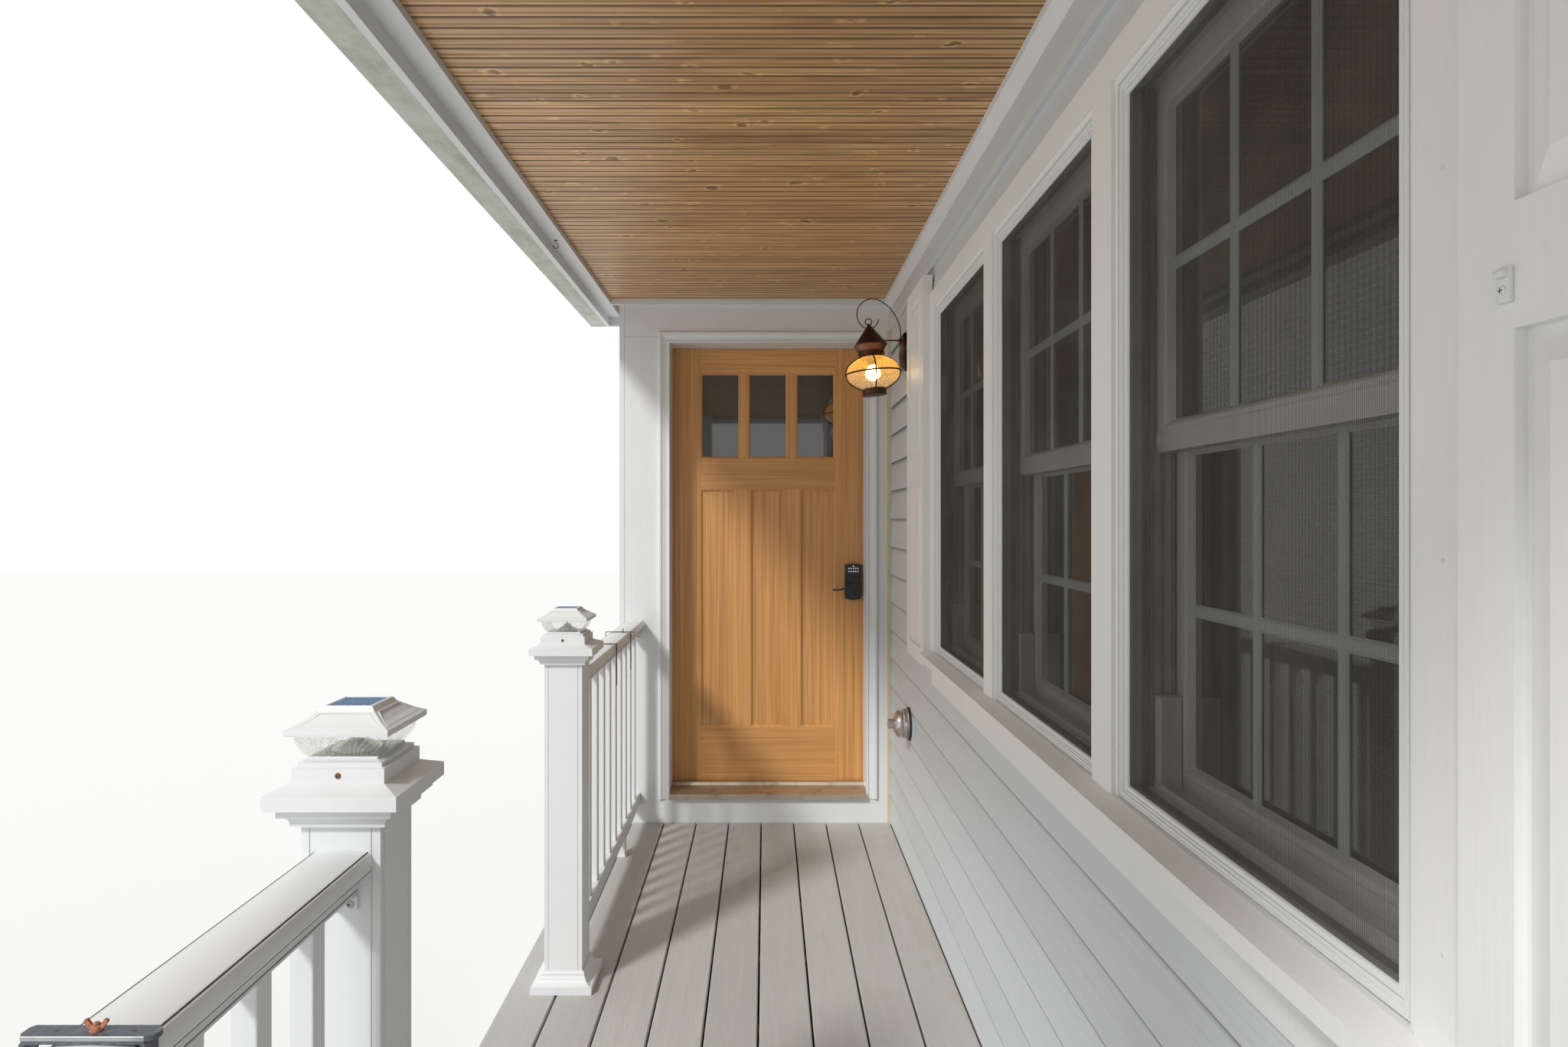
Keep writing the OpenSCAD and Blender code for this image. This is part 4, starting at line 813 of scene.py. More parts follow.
def marked(piece, name, value):
    """Gives every point of a piece one value of an attribute, for its finish to read"""
    tone = piece.data.attributes.new(name, "FLOAT", "POINT")
    for item in tone.data:
        item.value = value
    return piece


def wire(name, points, radius, closed=False, sides=3):
    """Round bar bent along the points"""
    deselect()
    line = bpy.data.curves.new(name, "CURVE")
    line.dimensions = "3D"
    line.bevel_depth = radius
    line.bevel_resolution = sides - 1
    line.use_fill_caps = True
    path = line.splines.new("POLY")
    path.points.add(len(points) - 1)
    for spot, point in zip(path.points, points):
        spot.co = (*point, 1)
    path.use_cyclic_u = closed
    piece = bpy.data.objects.new(name, line)
    bpy.context.scene.collection.objects.link(piece)
    activate(piece)
    bpy.ops.object.convert(target="MESH")
    return bpy.context.active_object


def set_at(matrix, *pieces):
    """Moves the meshes of pieces by a matrix"""
    for piece in pieces:
        piece.data.transform(matrix)
    return pieces


def joined(name, pieces):
    deselect()
    for piece in pieces:
        piece.select_set(True)
    bpy.context.view_layer.objects.active = pieces[0]
    bpy.ops.object.join()
    pieces[0].name = name
    return pieces[0]


def dressed(piece, slot, material, replaces=(), smooth=None, body="root"):
    """Gives a finished piece its material and body, and hides the solids that it stands for"""
    piece.data.materials.clear()
    piece.data.materials.append(material)
    if smooth:
        activate(piece)
        bpy.ops.object.shade_smooth_by_angle(angle=math.radians(smooth))
    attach(piece, body)
    if replaces:
        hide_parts(*replaces)


def fitted(name, pieces, *finish, **settings):
    """Joins pieces into one and dresses it"""
    dressed(joined(name, pieces), *finish, **settings)


def keep(material, *nodes):
    """Gives solids that are shown as they are their finish"""
    for name in nodes:
        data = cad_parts[name].data
        data.materials.clear()
        data.materials.append(material)


def cross_screw(name, centre, direction, radius=0.0045):
    """Pan-head screw that looks one way, and the cross in its head as a second piece, which its callers paint
    dark as the shadow in the recess
    """
    head = [(0, -0.0005), (radius, -0.0005), (radius, radius * 0.12), (radius * 0.86, radius * 0.38),
            (radius * 0.45, radius * 0.5), (0, radius * 0.52)]
    bars = [block("cross", (-x, -y, radius * 0.40), (x, y, radius * 0.535))
            for x, y in ((0.55 * radius, 0.12 * radius), (0.12 * radius, 0.55 * radius))]
    set_at(facing(direction, centre), *bars)
    return turned(name, head, centre, 20, direction), joined("cross", bars)


def rounded(y0, y1, z0, z1, radius, steps=5):
    """Outline of a rectangle with rounded corners"""
    corners = [(y1 - radius, z1 - radius, 0), (y0 + radius, z1 - radius, 90),
               (y0 + radius, z0 + radius, 180), (y1 - radius, z0 + radius, 270)]
    return [(y + radius * math.cos(math.radians(start + 90 * i / steps)),
             z + radius * math.sin(math.radians(start + 90 * i / steps)))
            for y, z, start in corners for i in range(steps + 1)]


# Operators

class PORCH_OT_stage(bpy.types.Operator):
    """Sets up the camera, the pale floor and the soft light"""
    bl_idname = "porch.stage"
    bl_label = "Camera, floor and light"

    def execute(self, context):
        scene = context.scene
        deselect()
        bpy.ops.object.camera_add(location=at(-0.575, -4.096, 1.374), rotation=(math.radians(90), 0, 0))
        camera = context.active_object
        camera.data.lens = 20.83
        camera.data.sensor_width = 36
        camera.data.shift_x = 0.0117
        camera.data.shift_y = -0.0034
        camera.data.clip_start = 0.02
        scene.camera = camera
        bpy.ops.mesh.primitive_plane_add(size=60, location=(0, 0, 0))
        floor = context.active_object
        floor.name = "floor"
        floor.data.materials.append(pale_floor())
        self.light_up(scene)
        return {"FINISHED"}

    def light_up(self, scene):
        """Soft sun from the open side, and a pale world that is dimmer as a lamp than it looks"""
        deselect()
        bpy.ops.object.light_add(type="SUN", location=(-6, -8, 8),
                                 rotation=(math.radians(52), 0, math.radians(-38)))
        sun = bpy.context.active_object.data
        sun.energy = 2.3
        sun.angle = math.radians(9)
        world = bpy.data.worlds.new("studio")
        scene.world = world
        world.use_nodes = True
        tree = world.node_tree
        back = tree.nodes["Background"]
        path = tree.nodes.new("ShaderNodeLightPath")
        seen = tree.nodes.new("ShaderNodeMath")
        seen.operation = "MAXIMUM"
        tree.links.new(path.outputs["Is Camera Ray"], seen.inputs[0])
        tree.links.new(path.outputs["Is Glossy Ray"], seen.inputs[1])
        strength = tree.nodes.new("ShaderNodeMix")
        strength.inputs["A"].default_value = 0.75
        strength.inputs["B"].default_value = 1.0
        tree.links.new(seen.outputs[0], strength.inputs[0])
        tree.links.new(strength.outputs[0], back.inputs["Strength"])
        back.inputs["Color"].default_value = (1, 1, 1, 1)
        scene.view_settings.view_transform = "Standard"


class PORCH_OT_walls(bpy.types.Operator):
    """Finishes the foundation, the walls and their boards"""
    bl_idname = "porch.walls"
    bl_label = "Foundation and walls"

    def execute(self, context):
        keep(poured_concrete(), "foundation")
        keep(wall_board(), "house_wall_low", "house_wall_high", "house_wall_near", "house_wall_far",
             "end_wall_left", "end_wall_right", "end_wall_high", "end_wall_low")
        keep(siding_boards(), "house_siding")
        keep(trim_paint(), "end_cladding", "door_frame", "door_casing")
        # The window trim takes the lighter, painted-light copy of the trim paint
        keep(lit_casing_paint(), "window_trim")
        self.mark_joints()
        self.drive_nails()
        return {"FINISHED"}

    def mark_joints(self):
        """Faint joints between the boards of the end wall and round the skirt"""
        left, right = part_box("end_cladding")[0].x + 0.024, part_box("door_casing")[0].x
        seam_z = deck_z + 2.193
        joints = [block("joint", (left, end_y - 0.0003, seam_z - 0.0006),
                        (right, end_y + 0.0008, seam_z + 0.0006))]
        low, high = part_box("deck_skirt")
        for share in (1 / 3, 2 / 3):
            z = low.z + (high.z - low.z) * share
            for start, end in (((low.x - 0.0004, low.y), (low.x + 0.001, high.y)),
                               ((low.x, low.y - 0.0004), (high.x, low.y + 0.001))):
                joints.append(block("joint", (*start, z - 0.001), (*end, z + 0.001)))
        fitted("board_joints", joints, "painted_wood", shadow_line())

    def drive_nails(self):
        """Filled nail heads in the eave's trim board and the casings, and thin dark discs of painted shade for
        the holes in the corner strip
        """
        nails = []
        head = mm((0, 0), (2.2, 0), (1.9, 0.4), (0, 0.5))

        def drive(x, y, z, *direction):
            nails.append(turned("nail", head, (x, y, z), 10, direction))

        low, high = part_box("ceiling_trim")
        y = low.y + 0.15
        while y < high.y - 0.05:
            for x in (low.x + 0.014, low.x + 0.042):
                drive(x, y + 0.004 * math.sin(50 * y + x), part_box("ceiling")[0].z - eave_board_t, 0, 0, -1)
            y += rafter_pitch
        low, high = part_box("door_casing")
        for x in (low.x + 0.012, high.x - 0.012):
            for i in range(6):
                drive(x, low.y, low.z + 0.16 + i * 0.38, 0, -1, 0)
        low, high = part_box("window_trim")
        for y in (low.y + 0.045, high.y - 0.045):
            for i in range(4):
                drive(wall_x - casing_proud, y, low.z + 0.20 + i * 0.32, -1, 0, 0)
        fitted("nail_heads", nails, "painted_wood", eave_paint(), smooth=40)
        # Painted shade: each hole is a thin dark disc
        holes = [turned("nail_hole", mm((0, 0), (1.6, 0), (1.2, 0.3), (0, 0.3)),
                        at(-0.013, -0.026, 0.24 + 0.31 * i), 10, (0, -1, 0)) for i in range(6)]
        fitted("nail_hole_shadows", holes, "siding", shadow_line())


class PORCH_OT_deck(bpy.types.Operator):
    """Finishes the deck and splits the stone of the steps"""
    bl_idname = "porch.deck"
    bl_label = "Deck and steps"

    def execute(self, context):
        keep(deck_composite(), "deck_boards")
        keep(framing_lumber(), "deck_frame")
        keep(vinyl(), "deck_skirt")
        for node in ("lower_step", "upper_step"):
            self.split_stone(node)
        return {"FINISHED"}

    def split_stone(self, node):
        """Block of stone with a flamed top and split sides, just inside its solid"""
        stone = board(f"{node}_stone", *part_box(node), 0.006)
        changed(stone, "REMESH", mode="VOXEL", voxel_size=0.013)
        for name, scale, depth in (("split", 0.07, 0.009), ("flamed", 0.012, 0.0025)):
            texture = bpy.data.textures.new(name, "CLOUDS")
            texture.noise_scale = scale
            texture.noise_depth = 3
            changed(stone, "DISPLACE", texture=texture, texture_coords="GLOBAL", mid_level=1.0,
                    strength=depth)
        dressed(stone, "granite", split_granite(), (node,), 40)


class PORCH_OT_ceiling(bpy.types.Operator):
    """Cuts the beads of the ceiling boards"""
    bl_idname = "porch.ceiling"
    bl_label = "Beaded ceiling"

    def execute(self, context):
        low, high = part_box("ceiling")
        pitch, groove = sizes().bead_pitch, sizes().bead_groove
        bead = 0.010
        beaded = [(-bead, 0), (-0.8 * bead, groove), (-0.4 * bead, 0.2 * groove), (0.4 * bead, 0.2 * groove),
                  (0.8 * bead, groove), (bead, 0)]
        outline = [(low.y, high.z), (low.y, low.z)]
        for i in range(int((end_y - low.y) / pitch)):
            outline += placed(beaded, low.y + (i + 0.5) * pitch, low.z)
        outline += [(end_y, low.z), (end_y, high.z)]
        under_roof = drawn("beaded_ceiling", outline, "X", low.x, high.x)
        past_end = block("ceiling_past_end", (low.x, end_y, low.z), (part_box("end_cladding")[0].x, *high[1:]))
        fitted("beaded_ceiling", [under_roof, past_end], "pine_ceiling", ceiling_pine(), ("ceiling",))
        keep(eave_paint(), "ceiling_trim")
        return {"FINISHED"}


class PORCH_OT_roof(bpy.types.Operator):
    """Lays the shingles and finishes the eave"""
    bl_idname = "porch.roof"
    bl_label = "Roof and eave"

    def execute(self, context):
        keep(framing_lumber(), "roof_frame")
        keep(eave_paint(), "fascia_boards")
        keep(mildewed_metal(), "gutter")
        keep(galvanised(), "roof_deck")
        low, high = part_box("roof_deck")
        eave_top = max(v.co.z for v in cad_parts["roof_deck"].data.vertices if v.co.x < low.x + 0.001)
        slope = math.atan2(high.z - eave_top, high.x - low.x)
        self.lay_shingles(low, high, slope, eave_top)
        self.add_flashing(low, high, slope)
        self.fit_gutter_hangers()
        self.fit_hook()
        return {"FINISHED"}

    def lay_shingles(self, low, high, slope, eave_top):
        """Rows of tabs up the slope, every other row set off by half a tab"""
        course, width, thick = sizes().shingle_course, sizes().shingle_w, sizes().shingle_t
        first, last, narrowest = low.y + 0.004, high.y - 0.004, 0.03
        tabs = []
        random.seed(4)
        for row in range(int((high.x - low.x) / math.cos(slope) / course)):
            start = first - (width / 2 if row % 2 else 0)
            while start < last:
                left, right = max(start, first), min(start + width, last)
                start += width
                if right - left < narrowest:
                    continue
                tab = board("tab", (row * course + 0.004, left + 0.003, 0.0004),
                            ((row + 1) * course + 0.02, right - 0.003, thick), 0.001)
                tabs.append(marked(tab, "tab", random.random()))
        roof = joined("roof_shingles", tabs)
        set_at(move_by(low.x, 0, eave_top) @ Matrix.Rotation(-slope, 4, "Y"), roof)
        dressed(roof, "roofing", shingle_granules())

    def add_flashing(self, low, high, slope):
        """Bent metal strip where the roof meets the wall"""
        reach = 0.11
        drop = reach * math.sin(slope)
        bent = [(0, 0.007), (-reach, 0.007 - drop), (-reach, 0.009 - drop), (-0.002, 0.010), (-0.002, 0.06),
                (0, 0.06)]
        strip = drawn("wall_flashing", placed(bent, wall_x, high.z), "Y", low.y + 0.004, high.y - 0.004)
        dressed(strip, "gutter_metal", galvanised())

    def fit_gutter_hangers(self):
        """Ribbed strap with a lip and a screw across the gutter, repeated along it"""
        low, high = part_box("gutter")
        straps, y = [], low.y + 0.25

        def strip(name, x0, x1, middle, half, z0, z1, ease):
            straps.append(board(name, (x0, y + middle - half, high.z + z0),
                                (x1, y + middle + half, high.z + z1), ease))

        while y < high.y - 0.1:
            strip("gutter_strap", low.x + 0.003, high.x - 0.0025, 0, 0.0125, -0.0155, -0.014, 0.0005)
            for side in (-0.006, 0.006):
                strip("strap_rib", low.x + 0.012, high.x - 0.012, side, 0.0012, -0.0141, -0.0128, 0.0004)
            strip("strap_lip", high.x - 0.0042, high.x - 0.0026, 0, 0.0125, -0.04, -0.0145, 0.0005)
            straps.append(turned("hanger_screw", mm((0, 0), (4.8, 0), (4.8, 3), (0, 3.6)),
                                 (high.x - 0.0041, y, high.z - 0.027), 6, (-1, 0, 0)))
            y += gutter_hanger_pitch
        fitted("gutter_hangers", straps, "gutter_metal", galvanised())

    def fit_hook(self):
        """Small cup hook screwed up into the eave's trim board"""
        spot = Vector((wall_x - 1.304, end_y - 0.943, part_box("ceiling")[0].z - eave_board_t))
        flange = turned("hook_flange", mm((0, 0), (6.5, 0), (6, 1.2), (2.4, 3), (0, 3.2)), spot, 20,
                        (0, 0, -1))
        bend = [Vector((0, 0, -0.001)), Vector((0, 0, -0.010))]
        bend += [Vector((0.009 * math.sin(angle), 0, -0.019 + 0.009 * math.cos(angle)))
                 for angle in (math.radians(20 * i) for i in range(15))]
        hook = wire("hook_bend", bend, 0.0013)
        set_at(move_by(spot), hook)
        fitted("cup_hook", [flange, hook], "black_metal", weathered_iron(), smooth=40)


class PORCH_OT_rail(bpy.types.Operator):
    """Finishes the rail and posts and fits their brackets, screws and hangers"""
    bl_idname = "porch.rail"
    bl_label = "Rail and posts"

    def execute(self, context):
        keep(vinyl(), "rail_posts", "corner_column", "post_bases", "post_caps")
        low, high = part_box("far_railing")
        self.middle = (low.x + high.x) / 2
        self.top = high.z
        self.under = self.top - 0.062
        for node in rail_nodes:
            self.build_rail(node)
        self.trace_grooves()
        self.fit_brackets()
        self.fit_hangers()
        self.fit_clamp()
        return {"FINISHED"}

    def span(self, node):
        """Where a rail starts and ends, and the matrix that sets what is made along Y in its place"""
        low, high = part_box(node)
        if node == "end_railing":
            return low.x, high.x, move_by(0, (low.y + high.y) / 2, 0) @ turn_z(-90)
        return low.y, high.y, move_by(self.middle, 0, 0)

    def rail_outline(self):
        """Half of the top rail's outline: crown, rounded edge, groove, cove and web, from the crown down"""
        crown, cove = 0.160, 0.023
        half = [(u, math.sqrt(crown ** 2 - u ** 2) - crown) for u in (0.0365 * i / 8 for i in range(9))]
        half += mm((40, -6.2), (43, -12), (44.3, -18), (44.5, -25), (42, -28.8), (39.5, -30.8))
        half += [(0.0465 + cove * math.cos(angle), -0.052 + cove * math.sin(angle))
                 for angle in (math.radians(130 + 55 * i / 8) for i in range(9))]
        return half + mm((22, -56.2), (22, -61.5), (21.5, -62))

    def build_rail(self, node):
        """Top rail, bottom rail, balusters and foot block with eased edges"""
        start, end, place = self.span(node)
        half = self.rail_outline()
        outline = placed(half, 0, self.top) + placed(reversed(half[1:]), 0, self.top, -1)
        top_rail = drawn("top_rail", outline, "Y", start, end)
        pieces = []

        def bar(name, half, y0, y1, z0, z1, ease):
            pieces.append(board(name, (-half, y0, z0), (half, y1, z1), ease, 2))

        bar("bottom_rail", 0.023, start, end, deck_z + 0.08, deck_z + 0.137, 0.003)
        pitch, size = sizes().baluster_pitch, sizes().baluster_w
        count = int((end - start - size) / pitch)
        first = start + (end - start - (count - 1) * pitch) / 2
        for i in range(count):
            y = first + i * pitch
            bar("baluster", size / 2, y - size / 2, y + size / 2, deck_z + 0.136, self.under + 0.001, 0.0022)
        foot = start + (end - start) * 0.7
        bar("foot_block", 0.02, foot - 0.02, foot + 0.02, deck_z, deck_z + 0.081, 0.002)
        bar("foot_collar", 0.0235, foot - 0.0235, foot + 0.0235, deck_z, deck_z + 0.008, 0.002)
        set_at(place, top_rail, *pieces)
        dressed(top_rail, "white_pvc", vinyl(), (node,), 25)
        fitted(f"{node}_bars", pieces, "white_pvc", vinyl(), (node,))

    def trace_grooves(self):
        """Painted shadow lines along both sides of each rail: a dark one under the crowned top, and two
        fainter ones above and below the cove
        """
        groove = mm((36.7, -3.6), (37.6, -4), (38.2, -5), (37.2, -5.6), (36, -4.6))
        quirks = (mm((40.6, -29.8), (41.3, -30.6), (40.2, -32), (38, -31.8)),
                  mm((23, -55.2), (23.8, -56.2), (22.6, -57.6), (21, -56.6)))
        # Thin strips, painted dark as the shadow in the grooves
        fitted("rail_groove_shadows", self.side_lines(groove), "white_pvc", shadow_line())
        fitted("rail_quirk_shadows", self.side_lines(*quirks), "white_pvc", shaded_vinyl())

    def side_lines(self, *profiles):
        """Thin lines along both sides of each rail"""
        lines = []
        for node in rail_nodes:
            start, end, place = self.span(node)
            lines += set_at(place, *(
                drawn("rail_line", placed(profile, 0, self.top, side), "Y", start + 0.0005, end - 0.0005)
                for side in (-1, 1) for profile in profiles))
        return lines

    def fit_brackets(self):
        """Angle bracket with two screws under each end of the rails"""
        brackets, screws, crosses = [], [], []
        for node in rail_nodes:
            start, end, place = self.span(node)
            for spot in (move_by(0, start, 0), move_by(0, end, 0) @ turn_z(180)):
                face = rounded(-0.0245, 0.0245, self.under - 0.0225, self.under, 0.005)
                plate = drawn("rail_bracket", face, "Y", 0.0003, 0.0040)
                leg = board("bracket_leg", (-0.0215, 0.0005, self.under - 0.0034),
                            (0.0215, 0.030, self.under - 0.0002), 0.001)
                brackets += set_at(place @ spot, plate, leg)
                for x in (-0.0136, 0.0136):
                    head, cross = cross_screw("bracket_screw", (x, 0.0040, self.under - 0.0125), (0, 1, 0),
                                              0.0062)
                    screws += set_at(place @ spot, head)
                    crosses += set_at(place @ spot, cross)
        fitted("rail_brackets", brackets, "white_pvc", vinyl())
        fitted("bracket_screws", screws, "hinge_metal", hinge_steel(), smooth=40)
        # The crosses are painted shadow of the recesses in the screw heads
        fitted("bracket_cross_shadows", crosses, "black_metal", shadow_line())

    def fit_hangers(self):
        """Two black straps over the far rail that hang down on the house side, one with a knob"""
        straps = []
        far_y, near_y = end_y - 0.438, end_y - 0.784
        for y, reach in ((near_y, 47), (far_y, 64)):
            band = mm((-56, -18), (-54.2, -18), (-53, 0.4), (reach, 0.4), (reach, 2.6), (-54.8, 2.6))
            leg = mm((44.9, 1), (44.9, -148), (45.6, -149.5), (46.6, -149.5), (47.3, -148), (47.3, 1))
            for name, outline in (("hanger_top", band), ("hanger_leg", leg)):
                straps.append(drawn(name, placed(outline, self.middle, self.top), "Y", y - 0.005, y + 0.005))
            straps.append(turned("hanger_rivet", mm((0, 0), (3, 0), (2.8, 1.2), (1.2, 2), (0, 2.2)),
                                 (self.middle + 0.0472, y, self.top - 0.012), 16, (1, 0, 0)))
        knob = mm((0, 0), (3.8, 0), (3.8, 1.5), (1.6, 3), (1.4, 8.5), (2.6, 10), (2.6, 11.8), (1.2, 12.8),
                  (0, 13))
        straps.append(turned("hanger_knob", knob, (self.middle + 0.015, far_y, self.top + 0.0022), 20))
        fitted("rail_hangers", straps, "black_metal", black_metal(), smooth=35)

    def fit_clamp(self):
        """Iron saddle clamp over the near rail, with a pale strip of painted highlight along its near edge,
        dark discs of painted shade for its two holes, and a rusty wing nut on its bolt
        """
        middle, near, far = self.middle, end_y - 3.305, end_y - 3.287
        across, under, top = end_y - 3.296, self.top + 0.0034, self.top + 0.0080
        plan = [(-0.060, near), (-0.063, near + 0.004), (-0.063, far - 0.004), (-0.060, far)]
        plan += [(0.048 + 0.009 * math.sin(angle), across + 0.009 * math.cos(angle))
                 for angle in (math.pi * i / 10 for i in range(11))]
        saddle = mm((48.8, -70), (45.4, -70), (45.4, -1), (43.8, 0.6), (-56, 0.6), (-58, -1.4), (-58, -70),
                    (-61.5, -70), (-61.5, 0.6), (-59, 3.6), (46.2, 3.6), (48.8, 1))
        iron = [drawn("clamp_plate", placed(plan, middle, 0), "Z", under, top),
                drawn("clamp_saddle", placed(saddle, middle, self.top), "Y", near, far),
                turned("clamp_bolt", mm((0, 0), (6.5, 0), (6.5, 3), (4.5, 4.2), (0, 4.6)),
                       (middle + 0.0486, across, top - 0.040), 6, (1, 0, 0))]
        fitted("rail_clamp", iron, "black_metal", clamp_iron(), smooth=35)
        # Painted highlight: a pale galvanised strip along the plate's near edge
        edge = board("clamp_edge_highlight", (middle - 0.0605, near - 0.0004, under + 0.0002),
                     (middle + 0.0480, near + 0.0006, top - 0.0002), 0.0003)
        dressed(edge, "black_metal", galvanised())
        # Painted shade: each hole is a thin dark disc
        sunk = mm((0, 0), (2.2, 0), (1.9, 0.3), (0, 0.3))
        holes = [turned("clamp_hole", sunk, (middle + x, across, top), 16) for x in (-0.035, 0.0335)]
        fitted("clamp_hole_shadows", holes, "black_metal", shadow_line())
        wing = mm((2.6, 0.4), (6.4, 2.6), (10.6, 7.8), (10, 10.2), (7.8, 10.7), (6.1, 8.5), (3.6, 5.2),
                  (1.8, 5))
        boss = mm((0, 0), (5, 0), (5.4, 1), (4.2, 5), (2.6, 5.4), (2.6, 6.8), (1.8, 7.6), (0, 7.8))
        nut = [drawn("nut_wing", placed(wing, middle, top, side), "Y", across - 0.0014, across + 0.0014)
               for side in (-1, 1)]
        nut.append(turned("nut_boss", boss, (middle, across, top), 24))
        fitted("wing_nut", nut, "hinge_metal", orange_rust(), smooth=35)


class PORCH_OT_lights(bpy.types.Operator):
    """Details the solar lights on the posts"""
    bl_idname = "porch.lights"
    bl_label = "Post lights"

    def execute(self, context):
        keep(vinyl(), "light_housings")
        keep(clear_lens(), "light_lenses")
        self.measure()
        cells, frames, facets, ribs, lamps, screws, crosses = [], [], [], [], [], [], []
        for centre in self.centres:
            cells.append(self.cell(centre))
            frames += self.hood_frame(centre)
            facets += self.facets(centre)
            ribs += self.ribs(centre)
            lamps += self.lamp(centre)
            face = centre + Vector((0, -self.base - 0.0001, self.base_z))
            head, cross = cross_screw("light_screw", face, (0, -1, 0), 0.0042)
            screws.append(head)
            crosses.append(cross)
        fitted("solar_cells", cells, "black_metal", solar_cell())
        fitted("hood_frames", frames, "white_pvc", vinyl())
        fitted("hood_facets", facets, "white_pvc", vinyl(), smooth=50)
        fitted("lens_ribs", ribs, "lens_plastic", clear_lens(), smooth=60)
        fitted("light_reflectors", lamps, "lens_plastic", bright_reflector(), smooth=40)
        fitted("light_screws", screws, "hinge_metal", rusty_steel(), smooth=40)
        # The crosses are painted shadow of the recesses in the screw heads
        fitted("light_cross_shadows", crosses, "hinge_metal", shadow_line())
        return {"FINISHED"}

    def measure(self):
        """Middles of the two posts, and the main sizes of a light"""
        post_low, post_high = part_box("rail_posts")
        low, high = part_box("light_housings")
        lens_low, lens_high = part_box("light_lenses")
        middle = (post_low.x + post_high.x) / 2
        half = (post_high.x - post_low.x) / 2
        self.centres = [Vector((middle, post_low.y + half, 0)), Vector((middle, post_high.y - half, 0))]
        self.top = high.z
        self.hood = (high.x - low.x) / 2
        self.base = half + 0.009
        self.base_z = low.z + 0.0105
        self.lens_z0, self.lens_z1 = lens_low.z, lens_high.z
        self.lens = (lens_high.x - lens_low.x) / 2

    def cell(self, centre):
        """Solar cell let into the flat top"""
        return board("solar_cell", centre + Vector((-cell_half, -cell_half, self.top - 0.0002)),
                     centre + Vector((cell_half, cell_half, self.top + 0.0005)), 0.0003)

    def hood_frame(self, centre):
        """Thin frame round the cell and the rolled rim round the hood"""
        def square(name, half, z, profile):
            corner = Vector((half, half, 0))
            level = centre + Vector((0, 0, z))
            return mitred(name, "Z", level - corner, level + corner, placed(profile, 0, z), False)

        outer = 0.0352
        return [square("cell_frame", outer, self.top,
                       [(0, -0.0004), (0.0006, 0.001), (0.004, 0.001), (outer - cell_half, -0.0002)]),
                square("hood_rim", self.hood, self.lens_z1,
                       mm((0.5, -0.1), (0.5, -1.6), (3, -2.2), (4.5, -0.1)))]

    def facets(self, centre):
        """Recessed facet with a raised edge on each of the hood's four slopes"""
        low_z, high_z = self.lens_z1 + 0.0085, self.lens_z1 + 0.0238
        reach_low, reach_high = self.hood - 0.0065, 0.0440
        half = []
        for up in (0.0, 0.25, 0.5, 0.75, 1.0):
            reach = reach_low + (reach_high - reach_low) * up
            z = low_z + (high_z - low_z) * (0.62 * up + 0.38 * up * up)
            half.append((reach * (0.90 - 0.12 * up), -reach, z + 0.0015))
        edge = [Vector((-x, y, z)) for x, y, z in half] + [Vector(point) for point in reversed(half)]
        made = []
        for turn in range(4):
            made += set_at(move_by(centre) @ turn_z(90 * turn), wire("facet_edge", edge, 0.0009, True, 2))
        return made

    def ribs(self, centre):
        """Swirling ribs on the four curved faces of the lens"""
        made = []
        random.seed(int(centre.y * 1000) % 97)
        rise = self.lens_z1 - self.lens_z0
        for turn in range(4):
            for i in range(13):
                start = -0.82 + i * 0.135 + random.uniform(-0.02, 0.02)
                points = []
                for step in range(6):
                    up = 0.06 + 0.86 * step / 5
                    reach = self.lens - (self.lens - 0.044) * (1 - up) ** 1.8
                    across = (start + 0.26 * up + 0.05 * math.sin(5 * up + i)) * reach
                    across = max(-0.95 * reach, min(0.95 * reach, across))
                    points.append(Vector((across, -reach + 0.0005, self.lens_z0 + rise * up)))
                rib = wire("lens_rib", points, 0.0008, False, 2)
                made += set_at(move_by(centre) @ turn_z(90 * turn), rib)
        return made

    def lamp(self, centre):
        """Reflector cone and small lamp inside the lens"""
        foot = centre + Vector((0, 0, self.lens_z0))
        cone = mm((0, 1), (34, 1), (30, 5), (12, 14), (10, 20), (0, 20))
        bulb = mm((0, 19), (2.8, 19), (2.8, 24), (1.6, 26), (0, 26.5))
        return [turned("reflector", cone, foot, 24), turned("lamp", bulb, foot, 16)]


